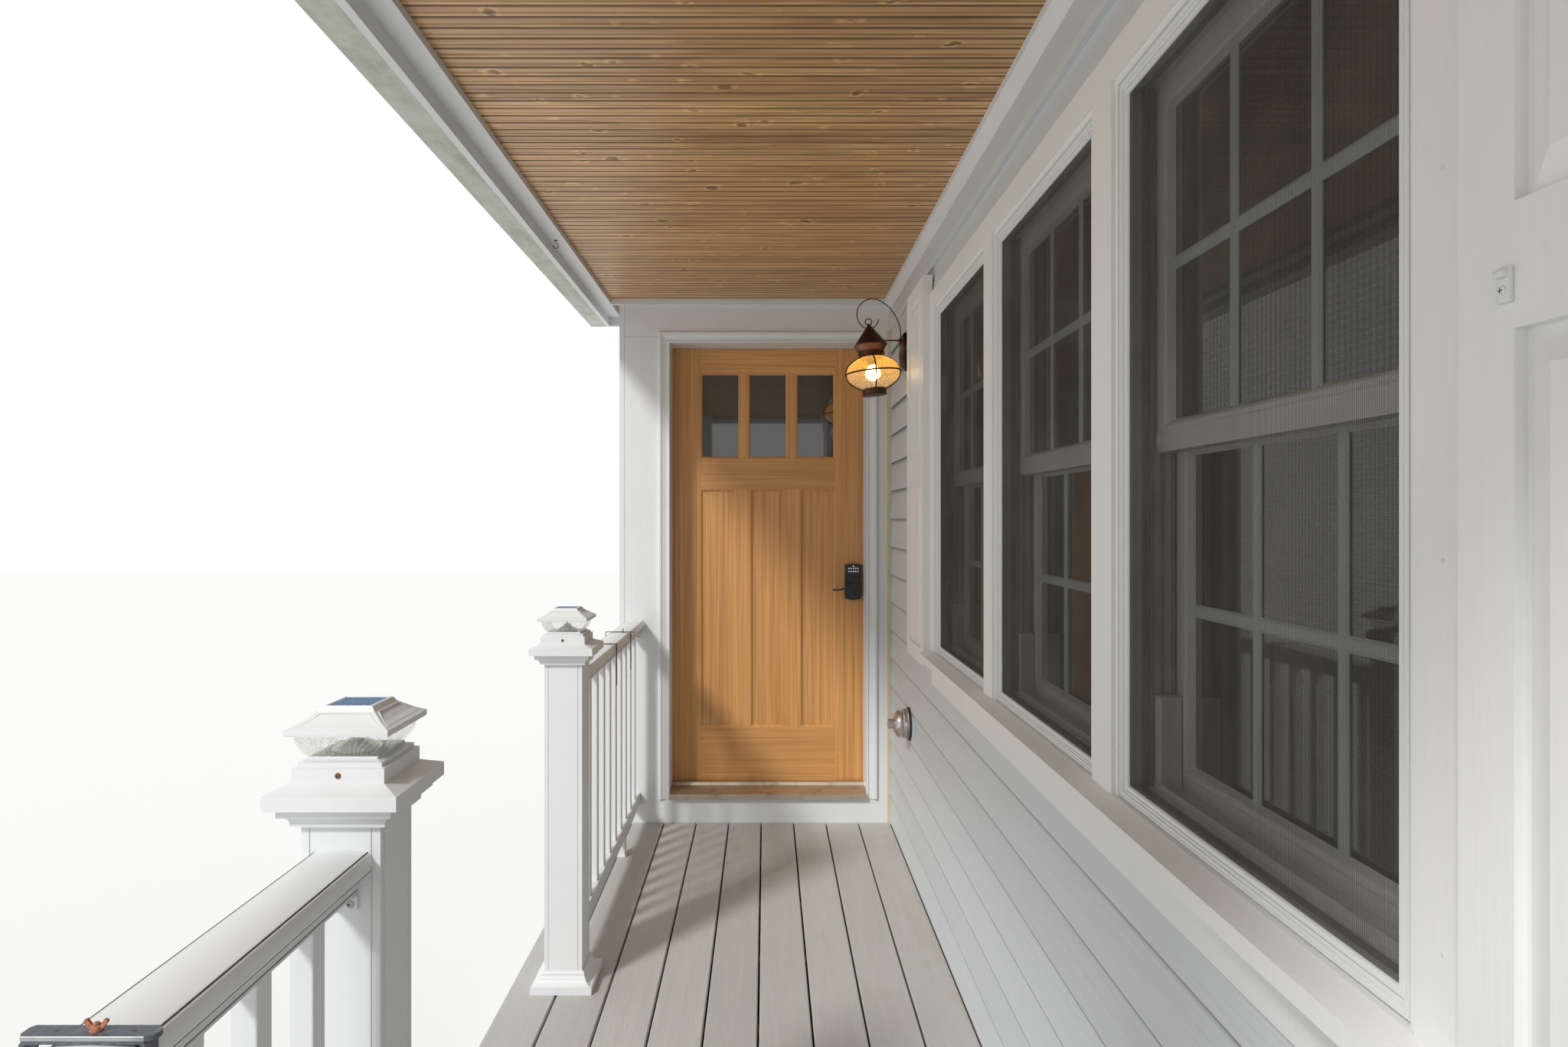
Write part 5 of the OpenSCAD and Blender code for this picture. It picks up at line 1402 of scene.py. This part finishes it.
class PORCH_OT_windows(bpy.types.Operator):
    """Fits the sash beads, the bars, the jamb tracks and the insect screens"""
    bl_idname = "porch.windows"
    bl_label = "Windows"

    def execute(self, context):
        keep(window_vinyl(), "window_frames", "window_sashes")
        # The window glass is painted dark as the shade of the room behind it
        keep(dark_glass(), "window_glass")
        self.measure()
        beads, bars, tracks, blocks, frames, tabs, noses = [], [], [], [], [], [], []
        for y0, y1 in self.bays:
            for low, high, face in self.panes(y0, y1):
                beads.append(self.glazing_bead(low, high, face))
                bars += self.bars(low, high)
            tracks += self.jamb_tracks(y0, y1)
            blocks += self.sill_blocks(y0, y1)
            frames.append(self.screen_frame(y0, y1))
            tabs += self.sash_tabs(y0, y1)
            noses.append(self.nose(y0, y1))
        # The jamb ribs take the darker vinyl as painted shade
        for name, pieces, material in (
                ("glazing_beads", beads, window_vinyl), ("window_bars", bars, grey_vinyl),
                ("jamb_tracks", tracks, shaded_vinyl), ("sill_blocks", blocks, window_vinyl),
                ("screen_frames", frames, vinyl), ("frame_noses", noses, vinyl), ("sash_tabs", tabs, vinyl)):
            fitted(name, pieces, "window_vinyl", material())
        self.stretch_screens()
        return {"FINISHED"}

    def measure(self):
        """Clear width and height of each window, and the depths of its layers"""
        low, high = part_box("window_frames")
        screen_low, screen_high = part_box("window_screens")
        sash_low, sash_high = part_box("window_sashes")
        count, post = sizes().window_count, sizes().mullion_w
        width = (high.y - low.y - (count - 1) * post) / count
        self.rim = screen_low.z - low.z
        starts = [low.y + i * (width + post) for i in range(count)]
        self.bays = [(start + self.rim, start + width - self.rim) for start in starts]
        self.bottom, self.top = low.z + self.rim, high.z - self.rim
        self.middle = (self.bottom + self.top) / 2
        self.frame_x = low.x
        self.front = wall_x - casing_proud + 0.007
        self.stop = screen_low.x, screen_high.x
        self.sash_x = sash_low.x
        self.sash_step = sash_high.x - sash_low.x - 0.028
        self.glass_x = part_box("window_glass")[0].x

    def panes(self, y0, y1):
        """Lowest and highest corner of a window's two panes, with the outer face of their sash"""
        start, end, half = y0 + sash_rail, y1 - sash_rail, sash_rail / 2
        return [((self.glass_x + back, start, z0), (self.glass_x + back, end, z1), self.sash_x + back)
                for back, z0, z1 in ((0, self.middle + half, self.top - sash_rail),
                                     (self.sash_step, self.bottom + sash_rail, self.middle - half))]

    def glazing_bead(self, low, high, face):
        """Bevelled bead round a pane, from the sash's face down to the glass"""
        proud = placed(mm((-11.5, 0), (-11.5, -1.2), (-9, -2.6), (-3.5, -2.6), (0, 0)), 0, face)
        return mitred("glazing_bead", "X", low, high, [*proud, (0.006, low[0] - 0.0005), (0, low[0])])

    def bars(self, low, high):
        """Two upright bars and one across, with bevelled edges"""
        x, half = low[0], sizes().muntin_w / 2
        outline = [(0.0002, -half), (-0.0015, -half), (-0.004, 0.004 - half), (-0.004, half - 0.004),
                   (-0.0015, half), (0.0002, half)]
        made = []
        for i in (1, 2):
            y = low[1] + (high[1] - low[1]) * i / 3
            made.append(drawn("upright_bar", placed(outline, x - 0.0003, y), "Z", low[2], high[2]))
        made.append(drawn("cross_bar", placed(outline, x, (low[2] + high[2]) / 2), "Y", low[1], high[1]))
        return made

    def jamb_tracks(self, y0, y1):
        """Ribs that the sashes slide between, on both jambs"""
        sash_top = self.middle - 0.022
        ribs = ((self.stop[1] + 0.004, 0.009, self.top), (self.sash_x + 0.008, 0.006, sash_top),
                (self.sash_x + 0.024, 0.009, sash_top))
        made = []
        for y, side in ((y0, 1), (y1, -1)):
            for x, proud, top in ribs:
                start, end = sorted((y, y + side * proud))
                made.append(board("jamb_rib", (x, start, self.bottom), (x + 0.003, end, top), 0.0006))
        return made

    def sill_blocks(self, y0, y1):
        """Blocks at the foot of both jambs, and the sill's two steps"""
        front, back = self.stop[1] + 0.001, self.sash_x + 0.028
        return [board(name, (x0, start, self.bottom), (x1, end, self.bottom + rise), 0.001)
                for name, x0, x1, start, end, rise in (
                    ("pocket_block", front + 0.008, back, y0, y0 + 0.030, 0.150),
                    ("pocket_block", front + 0.008, back, y1 - 0.030, y1, 0.150),
                    ("sill_step", front, back + 0.001, y0, y1, 0.008),
                    ("sill_lip", front + 0.006, front + 0.010, y0, y1, 0.018))]

    def nose(self, y0, y1):
        """Front part of a vinyl frame, from the frame's face to just behind the casing's"""
        front, rim = self.front, self.rim
        face = placed(mm((0.6, 3), (3, 3), (3.4, 0), (6.6, 0), (7.2, 1.2)), 0, front)
        step = placed(mm((-4, 1.2), (-3.5, 4), (0, 4)), rim, front)
        return mitred("frame_nose", "X", (front, y0 - rim, self.bottom - rim),
                      (front, y1 + rim, self.top + rim),
                      [(0.0006, self.frame_x), *face, *step, (rim, self.frame_x)])

    def screen_frame(self, y0, y1):
        """Rolled frame of an insect screen"""
        x, gap = self.front + 0.0042, 0.0004
        rolled = mm((0, 1), (1, 0), (6.5, 0), (7.5, 1), (8.5, 3), (8.5, 7.8), (0, 7.8))
        return mitred("screen_frame", "X", (x, y0 + gap, self.bottom + gap), (x, y1 - gap, self.top - gap),
                      placed(rolled, 0, x))

    def sash_tabs(self, y0, y1):
        """Corner plug at each end of the upper sash's lower rail, and a bumper under it"""
        x, z = self.sash_x, self.middle
        made = []
        for y, side in ((y0, 1), (y1, -1)):
            start, end = sorted((y + side * 0.004, y + side * 0.019))
            made.append(board("corner_plug", (x - 0.0022, start, z - 0.009), (x + 0.001, end, z + 0.007),
                              0.0008, 2))
            made.append(turned("bumper", mm((0, 0), (2.2, 0), (2, 1.6), (0, 2.2)),
                               (x + 0.004, y + side * 0.0004, z - 0.040), 12, (0, side, 0)))
        return made

    def stretch_screens(self):
        """Woven wires in each screen's frame, and the stop that the frame is pushed against"""
        x, edge, tuck = self.front + 0.0080, 0.008, 0.0004
        pitch, thick = sizes().screen_pitch, sizes().screen_wire
        front, back = self.stop
        wires, stops = [], []
        for y0, y1 in self.bays:
            start, end, low, high = y0 + edge, y1 - edge, self.bottom + edge, self.top - edge
            upright = block("upright_wires", (x, start, low), (x + thick, start + thick, high))
            self.repeat(upright, (0, pitch, 0), int((end - start) / pitch))
            across = block("cross_wires", (x, start, low), (x + thick, end, low + thick))
            self.repeat(across, (0, 0, pitch * 0.9), int((high - low) / (pitch * 0.9)))
            wires += [upright, across]
            profile = [(0, front), (0.0034, front), (0.004, front + 0.0006), (0.004, back), (0, back)]
            stops.append(mitred("screen_stop", "X", (front, y0 - tuck, self.bottom - tuck),
                                (front, y1 + tuck, self.top + tuck), profile))
        fitted("insect_screens", wires, "screen_mesh", screen_mesh(), ("window_screens",))
        # The screen stops take the darker vinyl as painted shade
        fitted("screen_stops", stops, "window_vinyl", shaded_vinyl(), ("window_screens",))

    def repeat(self, piece, step, count):
        """Row of one wire, repeated at a step"""
        changed(piece, "ARRAY", use_relative_offset=False, use_constant_offset=True,
                constant_offset_displace=step, count=count)


class PORCH_OT_shutters(bpy.types.Operator):
    """Finishes the raised-panel shutters and fits the clip"""
    bl_idname = "porch.shutters"
    bl_label = "Shutters"

    def execute(self, context):
        # The shutters take the lighter, painted-light copy of the trim paint
        keep(lit_casing_paint(), "shutters")
        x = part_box("shutters")[0].x
        clip = board("shutter_clip", (x - 0.0035, 0, 0), (x + 0.0002, 0.012, 0.026), 0.0012, 2)
        tongue = board("clip_tongue", (x - 0.0075, 0.0015, 0.018), (x - 0.0022, 0.0105, 0.0235), 0.0012, 2)
        screw, cross = cross_screw("clip_screw", (x - 0.0035, 0.006, 0.009), (-1, 0, 0), 0.0036)
        set_at(move_by(0, end_y - 3.456, deck_z + 1.527), clip, tongue, screw, cross)
        fitted("shutter_clip", [clip, tongue, screw], "painted_wood", vinyl(), smooth=40)
        # The clip screw's cross is painted shadow of its recess
        dressed(cross, "black_metal", shadow_line())
        return {"FINISHED"}


class PORCH_OT_door(bpy.types.Operator):
    """Joins the door from its boards and glazes it"""
    bl_idname = "porch.door"
    bl_label = "Entry door"

    def execute(self, context):
        self.low, self.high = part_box("door_leaf")
        self.lay_out()
        self.join_boards()
        # The door's glass is painted dark as the shade of the room behind it
        keep(dark_glass(), "door_glass")
        keep(sill_bronze(), "door_threshold")
        keep(hinge_steel(), "frame_hinges", "leaf_hinges")
        keep(black_metal(), "door_lock", "door_lever")
        self.fit_keypad()
        self.fit_hinge_screws()
        self.fit_sweep()
        return {"FINISHED"}

    def lay_out(self):
        """Edges of the lites and panels, as lists of their lowest and highest X and Z"""
        size = sizes()
        self.left, self.right = self.low.x + size.door_stile, self.high.x - size.door_stile
        lite_low, lite_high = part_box("door_glass")
        panel_top = lite_low.z - size.mid_rail
        self.bays = {}
        for name, bar, bottom, top in (("lite", size.lite_bar, lite_low.z, lite_high.z),
                                       ("panel", size.panel_bar, panel_top - size.panel_h, panel_top)):
            bay = (self.right - self.left - 2 * bar) / 3
            starts = [self.left + i * (bay + bar) for i in range(3)]
            self.bays[name] = [(start, start + bay, bottom, top) for start in starts]

    def plank(self, name, x0, x1, z0, z1, inset=0.0):
        """Board of the door between four edges, set in from both faces"""
        return marked(board(name, (x0, self.low.y + inset, z0), (x1, self.high.y - inset, z1), 0.0006),
                      "board", random.random())

    def join_boards(self):
        """Upright boards and moulded edges as one piece, and the three rails as another"""
        random.seed(11)
        low, high, left, right = self.low, self.high, self.left, self.right
        lites, panels = self.bays["lite"], self.bays["panel"]
        lock_stile = self.plank("lock_stile", right, high.x, low.z, high.z)
        for vertex in lock_stile.data.vertices:
            if vertex.co.x > high.x - 0.001 and vertex.co.y < low.y + 0.001:
                vertex.co.x -= lock_edge_bevel
        upright = [self.plank("hinge_stile", low.x, left, low.z, high.z), lock_stile]
        for bays in (lites, panels):
            for first, second in zip(bays, bays[1:]):
                upright.append(self.plank("door_bar", first[1], second[0], first[2], first[3]))
        depths = {"lite": 0.0165, "panel": 0.010}
        upright += [self.plank("door_panel", *edges, depths["panel"]) for edges in panels]
        across = [self.plank(name, left, right, z0, z1) for name, z0, z1 in (
            ("top_rail", lites[0][3], high.z), ("mid_rail", panels[0][3], lites[0][2]),
            ("bottom_rail", low.z, panels[0][2]))]
        upright += [self.sticking(edges, face, side * depths[name]) for name, bays in self.bays.items()
                    for edges in bays for face, side in ((low.y, 1), (high.y, -1))]
        fitted("door_uprights", upright, "door_wood", door_upright(), ("door_leaf",), body="door")
        fitted("door_rails", across, "door_wood", door_across(), ("door_leaf",), body="door")

    def sticking(self, edges, face, depth):
        """Moulded edge round a lite or panel: a flat, a hollow and a bevel down to it"""
        x0, x1, z0, z1 = edges
        profile = [(inset, face + math.copysign(down, depth))
                   for inset, down in mm((0, 0.6), (2.2, 1), (4, 3.4), (7, 4.8), (8.4, 7.8))]
        made = mitred("door_sticking", "Y", (x0, face, z0), (x1, face, z1),
                      [*profile, (0.0086, face + depth), (0, face + depth)])
        return marked(made, "board", random.random())

    def fit_keypad(self):
        """Ten lit keys with their digits on a panel, its rim and lamp, and the lock's cylinder"""
        low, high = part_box("door_lock")
        front, middle = low.y, (low.x + high.x) / 2
        rows = high.z - 0.021, high.z - 0.035
        panel = board("keypad_panel", (middle - 0.030, front - 0.0008, rows[1] - 0.008),
                      (middle + 0.030, front + 0.001, high.z - 0.0065), 0.0006, 2)
        dressed(panel, "black_metal", dark_plastic(), body="door")

        def button(name, outline, x, y, z, steps=24):
            return turned(name, outline, (x, y, z), steps, (0, -1, 0))

        keys, digits = [], []
        key = mm((0, 0), (3.4, 0), (3.4, 0.9), (2.8, 1.4), (0, 1.7))
        for i in range(10):
            x, z = middle + (i % 5 - 2) * 0.0105, rows[i // 5]
            keys.append(button("key", key, x, front - 0.0006, z))
            digits.append(self.digit(str((i + 1) % 10), x, front - 0.0024, z))
        keys.append(button("status_lamp", mm((0, 0), (3.6, 0), (3.2, 1), (0, 1.4)), middle, front - 0.0006,
                           high.z - 0.0108))
        fitted("lit_keys", keys, "black_metal", key_light(), smooth=40, body="door")
        fitted("key_digits", digits, "black_metal", dark_plastic(), body="door")
        cylinder = mm((0, 0), (10.5, 0), (10.5, 1.5), (9, 3), (5.2, 3.2), (5.2, 2.4), (0, 2.4))
        rims = [mitred("keypad_rim", "Y", (low.x + 0.003, front, low.z + 0.010),
                       (high.x - 0.003, front, high.z - 0.006),
                       placed(mm((0, 0.2), (0.6, -0.8), (1.6, -0.8), (2, 0.2)), 0, front)),
                board("keypad_step", (low.x + 0.0055, front - 0.0014, high.z - 0.063),
                      (high.x - 0.0055, front + 0.0004, high.z - 0.057), 0.001, 2),
                button("lock_cylinder", cylinder, middle, front + 0.0002, low.z + 0.024, 32)]
        fitted("keypad_rims", rims, "black_metal", black_metal(), smooth=35, body="door")

    def digit(self, sign, x, y, z):
        """Thin digit that looks outwards"""
        deselect()
        bpy.ops.object.text_add(location=(x, y, z), rotation=(math.radians(90), 0, 0))
        text = bpy.context.active_object.data
        text.body = sign
        text.size = 0.0054
        text.extrude = 0.0001
        text.align_x = "CENTER"
        text.align_y = "CENTER"
        bpy.ops.object.convert(target="MESH")
        bpy.ops.object.transform_apply(location=True, rotation=True, scale=True)
        return bpy.context.active_object

    def fit_hinge_screws(self):
        """Three screws in the frame's leaf of each hinge"""
        low, high = self.low, self.high
        inset, hinge_h = 0.180, 0.102
        pitch = (high.z - low.z - 2 * inset - hinge_h) / 2
        screws = [turned("hinge_screw", mm((0, 0), (3.6, 0), (3, 0.6), (0, 0.8)),
                         (low.x - 0.0026, high.y - 0.018, low.z + inset + i * pitch + z), 12, (1, 0, 0))
                  for i in range(3) for z in (0.016, 0.051, 0.086)]
        fitted("hinge_screws", screws, "hinge_metal", hinge_steel(), smooth=40)

    def fit_sweep(self):
        """Rubber sweep under the leaf"""
        low, high = self.low, self.high
        lip = mm((12, 0.6), (13, -3), (17, -3.6), (21, -3), (22, 0.6))
        sweep = drawn("door_sweep", placed(lip, low.y, low.z), "X", low.x + 0.002, high.x - 0.003)
        dressed(sweep, "black_metal", dark_rubber(), body="door")


class PORCH_OT_lantern(bpy.types.Operator):
    """Details the onion lantern, its bracket and the round valve"""
    bl_idname = "porch.lantern"
    bl_label = "Lantern"

    def execute(self, context):
        keep(aged_copper(), "lantern_bracket", "lantern_frame")
        keep(seeded_amber(), "lantern_globe")
        keep(lit_bulb(), "lantern_bulb")
        keep(worn_chrome(), "wall_valve")
        self.lean = move_by(at(-lantern_reach, -0.528, lantern_z)) @ Matrix.Rotation(math.radians(-5), 4, "Y")
        self.roll_seams()
        self.bind_cage()
        self.fit_plate()
        self.fit_valve()
        return {"FINISHED"}

    def roll_seams(self):
        """Rolled brim, collar beads, the cone's seam and tip, clips for the cage and a socket for the bulb"""
        beads = []
        for radius, height, thick in ((0.0650, 0.1085, 0.0014), (0.0512, 0.0725, 0.0011),
                                      (0.0512, 0.0840, 0.0009), (0.0474, -0.0700, 0.0012),
                                      (0.0474, -0.0865, 0.0012)):
            ring = [Vector((radius * math.cos(angle), radius * math.sin(angle), height))
                    for angle in (math.tau * i / 48 for i in range(48))]
            beads.append(wire("lantern_bead", ring, thick, True))
        seam = [Vector((radius, 0.001, height)) for radius, height in mm((64, 111.5), (35, 150), (5.6, 188))]
        beads.append(wire("cone_seam", seam, 0.0011, False, 2))
        tip = mm((0, 0), (6.2, 0), (6.6, 2.2), (4.8, 4.5), (5.2, 6.2), (3, 8.5), (0, 8.8))
        beads.append(turned("cone_tip", tip, (0, 0, 0.186), 24))
        for turn in range(4):
            clip = board("cage_clip", (0.044, -0.005, 0.069), (0.053, 0.005, 0.0712), 0.0006)
            beads += set_at(turn_z(90 * turn), clip)
        fitted("lantern_beads", set_at(self.lean, *beads), "lantern_copper", aged_copper(), smooth=40)
        outline = mm((0, 30), (15, 30), (16.5, 33), (16.5, 50), (20, 53), (20, 57.5), (0, 57.5))
        socket = turned("bulb_socket", outline, (0, 0, 0), 32)
        set_at(self.lean, socket)
        dressed(socket, "black_metal", dark_plastic(), smooth=35)

    def bind_cage(self):
        """Wires of the cage, thickened by their old solder and soot"""
        cage = bpy.data.objects.new("cage_wires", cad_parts["lantern_cage"].data.copy())
        bpy.context.scene.collection.objects.link(cage)
        activate(cage)
        with editing():
            bpy.ops.mesh.remove_doubles(threshold=merge_gap)
            bpy.ops.transform.shrink_fatten(value=0.0006)
        dressed(cage, "lantern_copper", sooty_copper(), ("lantern_cage",), 40)

    def fit_plate(self):
        """Bowed cover of the wall plate, its screws and the collars that carry the arm and the scroll"""
        low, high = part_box("lantern_bracket")
        middle = (low.y + high.y) / 2
        back, face, thick = low.x + 0.0005, wall_x - 0.0427, 0.0016
        bow = mm((-34, 2096.5), (-39, 2093), (-41.2, 2085), (-42.5, 2060), (-44, 2030), (-44, 2005),
                 (-42.5, 1987), (-38.5, 1976), (-33, 1971.5))
        outer = [(back, deck_z + 2.098), *placed(bow, wall_x, deck_z), (back, deck_z + 1.9705)]
        core = deck_z + 2.034
        inner = [(min(x + thick, back), z + math.copysign(thick, core - z)) for x, z in reversed(outer)]
        cover = drawn("plate_cover", outer + inner, "Y", middle - 0.043, middle + 0.043)
        dressed(cover, "lantern_copper", aged_copper(), smooth=30)
        head = mm((0, 0), (4.2, 0), (3.78, 1.26), (1.89, 1.89), (0, 1.26))
        screws = [turned("plate_screw", head, (face - 0.0008, middle + y, deck_z + 2.028), 12, (-1, 0, 0))
                  for y in (-0.022, 0.022)]
        fitted("plate_screws", screws, "black_metal", black_metal(), smooth=40)
        arm_z = deck_z + lantern_z + 0.128
        flare = mm((0, 0), (13, 0), (13, 1.8), (8.5, 4.2), (5, 8.5), (4.2, 13), (0, 13))
        foot = mm((0, -4), (4.2, -4), (4.8, 0), (4.2, 4), (0, 4))
        collars = [turned("arm_collar", flare, (face + 0.0002, middle, arm_z), 24, (-1, 0, 0)),
                   turned("scroll_collar", foot, (wall_x - lantern_reach + 0.109, middle, arm_z), 20)]
        fitted("bracket_collars", collars, "lantern_copper", aged_copper(), smooth=40)

    def fit_valve(self):
        """Black gasket behind the round valve, and the knurls of the cap on its stem"""
        low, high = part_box("wall_valve")
        middle = (low + high) / 2
        ring = mm((50, 0), (63.5, 0), (64, 4), (63.2, 9.5), (61, 11), (50, 11))
        gasket = turned("valve_gasket", ring, (high.x - 0.0002, middle.y, middle.z), 48, (-1, 0, 0))
        dressed(gasket, "black_metal", dark_rubber(), smooth=35)
        knurls = []
        for i in range(28):
            rib = board("knurl", (low.x + 0.002, -0.0009, 0.0174), (low.x + 0.0225, 0.0009, 0.0188), 0.0004)
            knurls += set_at(move_by(0, middle.y, middle.z) @ Matrix.Rotation(math.tau * i / 28, 4, "X"), rib)
        fitted("valve_knurls", knurls, "valve_metal", worn_chrome())


class PORCH_PT_panel(bpy.types.Panel):
    """Lists the porch's operators and settings"""
    bl_idname = "PORCH_PT_panel"
    bl_label = "Front porch"
    bl_space_type = "VIEW_3D"
    bl_region_type = "UI"
    bl_category = "Porch"

    def draw(self, context):
        layout = self.layout
        for operator in operators:
            layout.operator(operator.bl_idname)
        for group in (context.scene.porch_sizes, context.scene.porch_colours):
            for name in group.__annotations__:
                layout.prop(group, name)


operators = (
    PORCH_OT_stage, PORCH_OT_walls, PORCH_OT_deck, PORCH_OT_ceiling, PORCH_OT_roof, PORCH_OT_rail,
    PORCH_OT_lights, PORCH_OT_windows, PORCH_OT_shutters, PORCH_OT_door, PORCH_OT_lantern,
)
classes = (PorchSizes, PorchColours, *operators, PORCH_PT_panel)


def register():
    for item in classes:
        bpy.utils.register_class(item)
    bpy.types.Scene.porch_sizes = PointerProperty(type=PorchSizes)
    bpy.types.Scene.porch_colours = PointerProperty(type=PorchColours)


def unregister():
    del bpy.types.Scene.porch_colours
    del bpy.types.Scene.porch_sizes
    for item in reversed(classes):
        bpy.utils.unregister_class(item)


def main():
    register()
    for operator in operators:
        getattr(bpy.ops.porch, operator.bl_idname.split(".")[1])()


if __name__ == "__main__":
    main()
